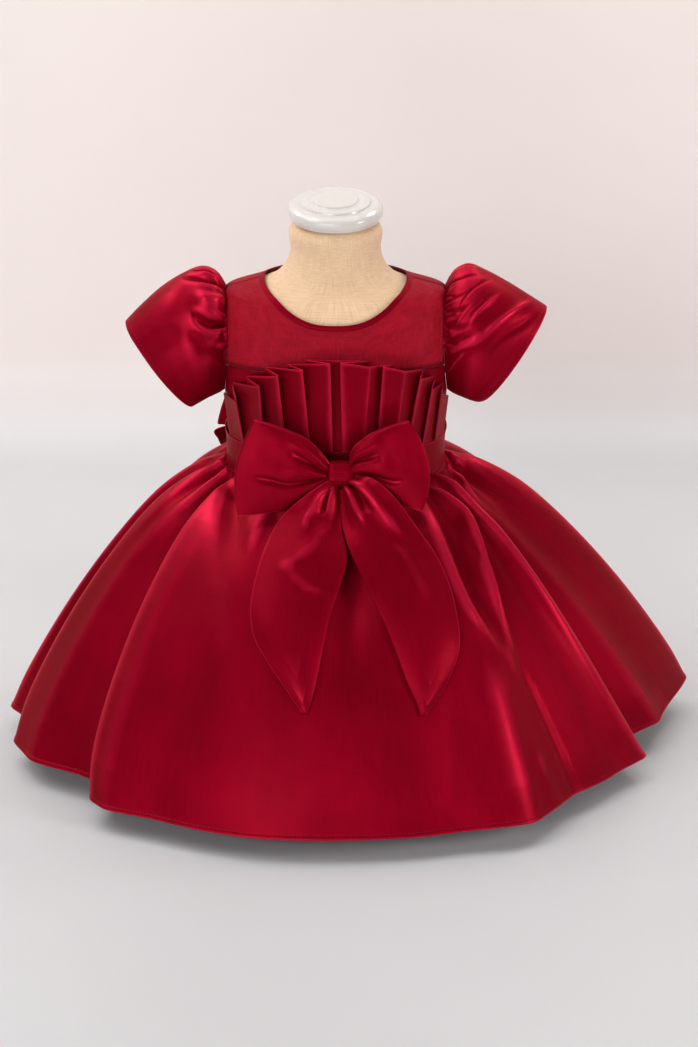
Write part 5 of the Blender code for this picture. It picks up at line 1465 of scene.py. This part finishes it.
# height, width and share of the folds across its front
KNOT_FOLDS = ((-0.25, 0.10, 1.0), (0.45, 0.12, 0.5))
KNOT_COLUMNS, KNOT_ROWS = 120, 28


def loop_point(top, foot, bulge, share, rise):
    """Points between a loop's layers: share 1 is the outer fold, rise 0 its foot."""
    point = lerp(curve(foot, share), curve(top, share), rise[:, None])
    outward = math.copysign(bulge, foot[-1][1] - foot[0][1])
    point[:, 0] += outward * 4 * rise * (1 - rise) * share ** 1.5
    return point


def build_loop(name, finish, top, foot, bulge, fullness, facing, cut, rows):
    """A loop of satin: out from the knot, round the outer fold and back behind."""
    columns = 2 * LOOP_FACE_STEPS + LOOP_FOLD_STEPS
    shape, u, v = grid(even(columns), even(LOOP_ROWS, 0.006), cut)
    step = u * columns
    behind = np.clip(step - LOOP_FACE_STEPS - LOOP_FOLD_STEPS, 0, None)
    share = (np.minimum(step, LOOP_FACE_STEPS) - behind) / LOOP_FACE_STEPS
    turn = np.clip((step - LOOP_FACE_STEPS) / LOOP_FOLD_STEPS, 0, 1) * math.pi
    layer = np.cos(turn)
    points = loop_point(top, foot, bulge, share, v)
    tall = np.linalg.norm(curve(top, share) - curve(foot, share), axis=1)
    across = 4 * v * (1 - v)
    crown = np.sin(math.pi * share).clip(0) ** 0.8 * across ** 0.6
    shown = creases(rows, v, share, tall, 0.38) * (step < LOOP_FACE_STEPS) * across ** 0.3
    half = LOOP_GAP + fullness * crown * np.where(layer > 0, 1, REAR_SHARE) + shown
    points[:, 1] += facing * layer * half
    points[:, 0] += math.copysign(LOOP_GAP, foot[-1][1] - foot[0][1]) * np.sin(turn)
    place_points(shape, points)
    if (foot[-1][1] > foot[0][1]) == (facing < 0):
        bmesh.ops.reverse_faces(shape, faces=shape.faces)
    # painted highlight on crests and turned edges, painted shade in hollows
    mark_folds(shape, columns, "tb")
    area = LOOP_CUT_SHARE * cut[0] * cut[1] * MM * MM
    finish_cloth(shape, name + "_satin", finish, "satin", name, cut, "folded",
                 "waistband_satin", area=area)


def build_knot(name, finish, place, size, facing):
    """A folded band round the middle of the bow, as a tube that lies across it."""
    shape, u, v = grid(even(KNOT_COLUMNS), even(KNOT_ROWS, 0.02), KNOT_CUT)
    turn = 2 * math.pi * u
    deep, up = (power_of(wave, 2 / KNOT_POWER) for wave in (np.cos(turn), np.sin(turn)))
    rolled = KNOT_ROLL * abs(2 * v - 1) ** 7
    ridge = np.where(np.cos(turn) > 0, KNOT_RIDGE, 0)
    folds = sum(share * np.exp(-((up - high) / wide) ** 2) for high, wide, share in KNOT_FOLDS)
    out = ridge * folds - rolled
    x = place[0] + (v - 0.5) * size[0] * (1 - KNOT_WAIST * up ** 2)
    y = place[1] + facing * (size[1] / 2 + out) * deep
    z = place[2] + (size[2] / 2 - rolled) * up
    place_points(shape, np.column_stack((x, y, z)))
    close_tube(shape)
    if facing > 0:
        bmesh.ops.reverse_faces(shape, faces=shape.faces)
    finish_cloth(shape, name + "_satin", finish, "satin", name, KNOT_CUT, "folded",
                 "waistband_satin")


def tail_line(table, share, across):
    """Points between a tail's edges: share 1 is its tip, across 0 its outer edge."""
    line = curve(table, share)
    return lerp(line[:, :3], line[:, 3:], across[:, None])


def build_tail(name, finish, edges, rows, under, facing=-1):
    """A tail of satin, crowned along its middle, that rests on a panel of the skirt."""
    table = [(k / (len(edges) - 1), *outer, *inner) for k, (outer, inner) in enumerate(edges)]
    shape, u, v = grid(even(TAIL_COLUMNS, 0.008), even(TAIL_ROWS, 0.003), TAIL_CUT)
    share, across = 1 - v, u
    down = (tail_line(table, np.minimum(share + SMALL_STEP, 1), across)
            - tail_line(table, np.maximum(share - SMALL_STEP, 0), across))
    wide = (tail_line(table, share, across + SMALL_STEP)
            - tail_line(table, share, across - SMALL_STEP))
    outward = unit(np.cross(wide, down))
    outward *= np.sign(outward[:, 1] * facing)[:, None]
    breadth = np.linalg.norm(wide, axis=1) / (2 * SMALL_STEP)
    middle = np.sin(math.pi * across).clip(0)
    lift = TAIL_CROWN * middle ** 0.8 * np.sin(math.pi * share).clip(0) ** 0.6
    lift += creases(rows, across, share, breadth, 0.3) * middle ** 0.3
    points = tail_line(table, share, across) + outward * lift[:, None]
    place_points(shape, points)
    if (edges[0][1][0] > edges[0][0][0]) != (facing < 0):
        bmesh.ops.reverse_faces(shape, faces=shape.faces)
    # painted highlight on crests and turned edges, painted shade in hollows
    mark_folds(shape, TAIL_COLUMNS, "l")
    finish_cloth(shape, name + "_satin", finish, "satin", name, TAIL_CUT, "draped", under,
                 TAIL_WALL, 0.0, area=TAIL_AREA)


for name, row in FRONT_LOOPS.items():
    build_loop(name, satin, *row)
build_knot("bow_knot", satin, KNOT_PLACE, KNOT_SIZE, -1)
build_tail("bow_tail_left", satin, LEFT_TAIL, LEFT_TAIL_CREASES, "skirt_satin_front")
build_tail("bow_tail_right", satin, RIGHT_TAIL, RIGHT_TAIL_CREASES, "skirt_satin_front")

# ------------------------------------------------------------------ back bow
# A sash of satin, tied at the back: two soft loops, a folded knot and two pointed
# tails that lie over the back of the skirt.
BACK_CREASES = (
    (0.55, 0.0, 0.66, 0.26, 0.78, 0.60, -2.8, 1.2, 1.0, 3.0),
    (0.30, 0.0, 0.34, 0.40, 0.36, 0.80, -2.4, -0.8, 1.0, 3.0),
    (0.80, 0.0, 0.86, 0.25, 0.92, 0.55, 2.0, 0.0, 2.0, 6.0),
    (0.15, 0.0, 0.16, 0.10, 0.18, 0.24, -0.9, 0.0, 0.6, 1.6),
)
BACK_LOOPS = {
    "back_bow_loop_left": (
        ((0, -4.6, 78, 270.5), (0.25, -26, 79, 287), (0.6, -58, 78, 294), (1, -84, 76, 292)),
        ((0, -4.6, 80, 258.5), (0.3, -34, 82, 250), (0.65, -68, 82, 247), (1, -99.6, 80, 247.4)),
        2.0, 5.0, 1, (204, 50), BACK_CREASES),
    "back_bow_loop_right": (
        ((0, 4.6, 78, 270.5), (0.25, 24, 79, 290), (0.6, 50, 78, 302), (1, 74, 77, 304)),
        ((0, 4.6, 80, 258.5), (0.3, 28, 84, 248), (0.65, 54, 90, 241), (1, 78, 96, 240)),
        7.0, 5.0, 1, (170, 60), BACK_CREASES),
}
BACK_TAIL_LEFT = (
    ((-9.0, 84, 262), (-2.0, 87, 253)),
    ((-52.0, 93, 247), (-8.0, 98, 243)),
    ((-101.0, 92, 238.8), (-24.0, 112, 231)),
    ((-101.5, 98, 226), (-38.0, 127, 214)),
    ((-97.0, 121, 207), (-47.0, 146, 196)),
    ((-94.0, 141, 187), (-54.0, 162, 178)),
    ((-89.0, 160, 166), (-60.0, 177, 160)),
    ((-81.0, 178, 146), (-66.0, 189, 142)),
    ((-73.5, 191, 130), (-70.0, 193, 129)),
)
BACK_TAIL_RIGHT = (
    ((13.0, 85, 262), (2.0, 87, 252)),
    ((33.0, 94, 247), (5.0, 100, 243)),
    ((50.0, 108, 228), (8.0, 118, 229)),
    ((62.0, 126, 206), (12.0, 138, 211)),
    ((66.0, 146, 180), (15.0, 158, 190)),
    ((62.0, 166, 154), (19.0, 176, 168)),
    ((50.0, 184, 137), (26.0, 192, 146)),
    ((38.0, 200, 126), (33.0, 203, 127)),
)
BACK_TAIL_CREASES = (
    (0.50, 0.0, 0.52, 0.10, 0.54, 0.22, -5.0, 0.0, 1.2, 4.0),
    (0.68, 0.0, 0.68, 0.12, 0.64, 0.28, 2.6, 0.0, 1.4, 4.0),
    (0.32, 0.0, 0.30, 0.12, 0.28, 0.34, 2.6, 0.0, 2.0, 7.0),
)
BACK_KNOT_PLACE, BACK_KNOT_SIZE = (0, 77.5, 264), (17, 15, 20)
for name, row in BACK_LOOPS.items():
    build_loop(name, satin, *row)
build_knot("back_bow_knot", satin, BACK_KNOT_PLACE, BACK_KNOT_SIZE, 1)
build_tail("back_bow_tail_left", satin, BACK_TAIL_LEFT, BACK_TAIL_CREASES,
           "skirt_satin_back_left", 1)
build_tail("back_bow_tail_right", satin, BACK_TAIL_RIGHT, BACK_TAIL_CREASES,
           "skirt_satin_back_right", 1)
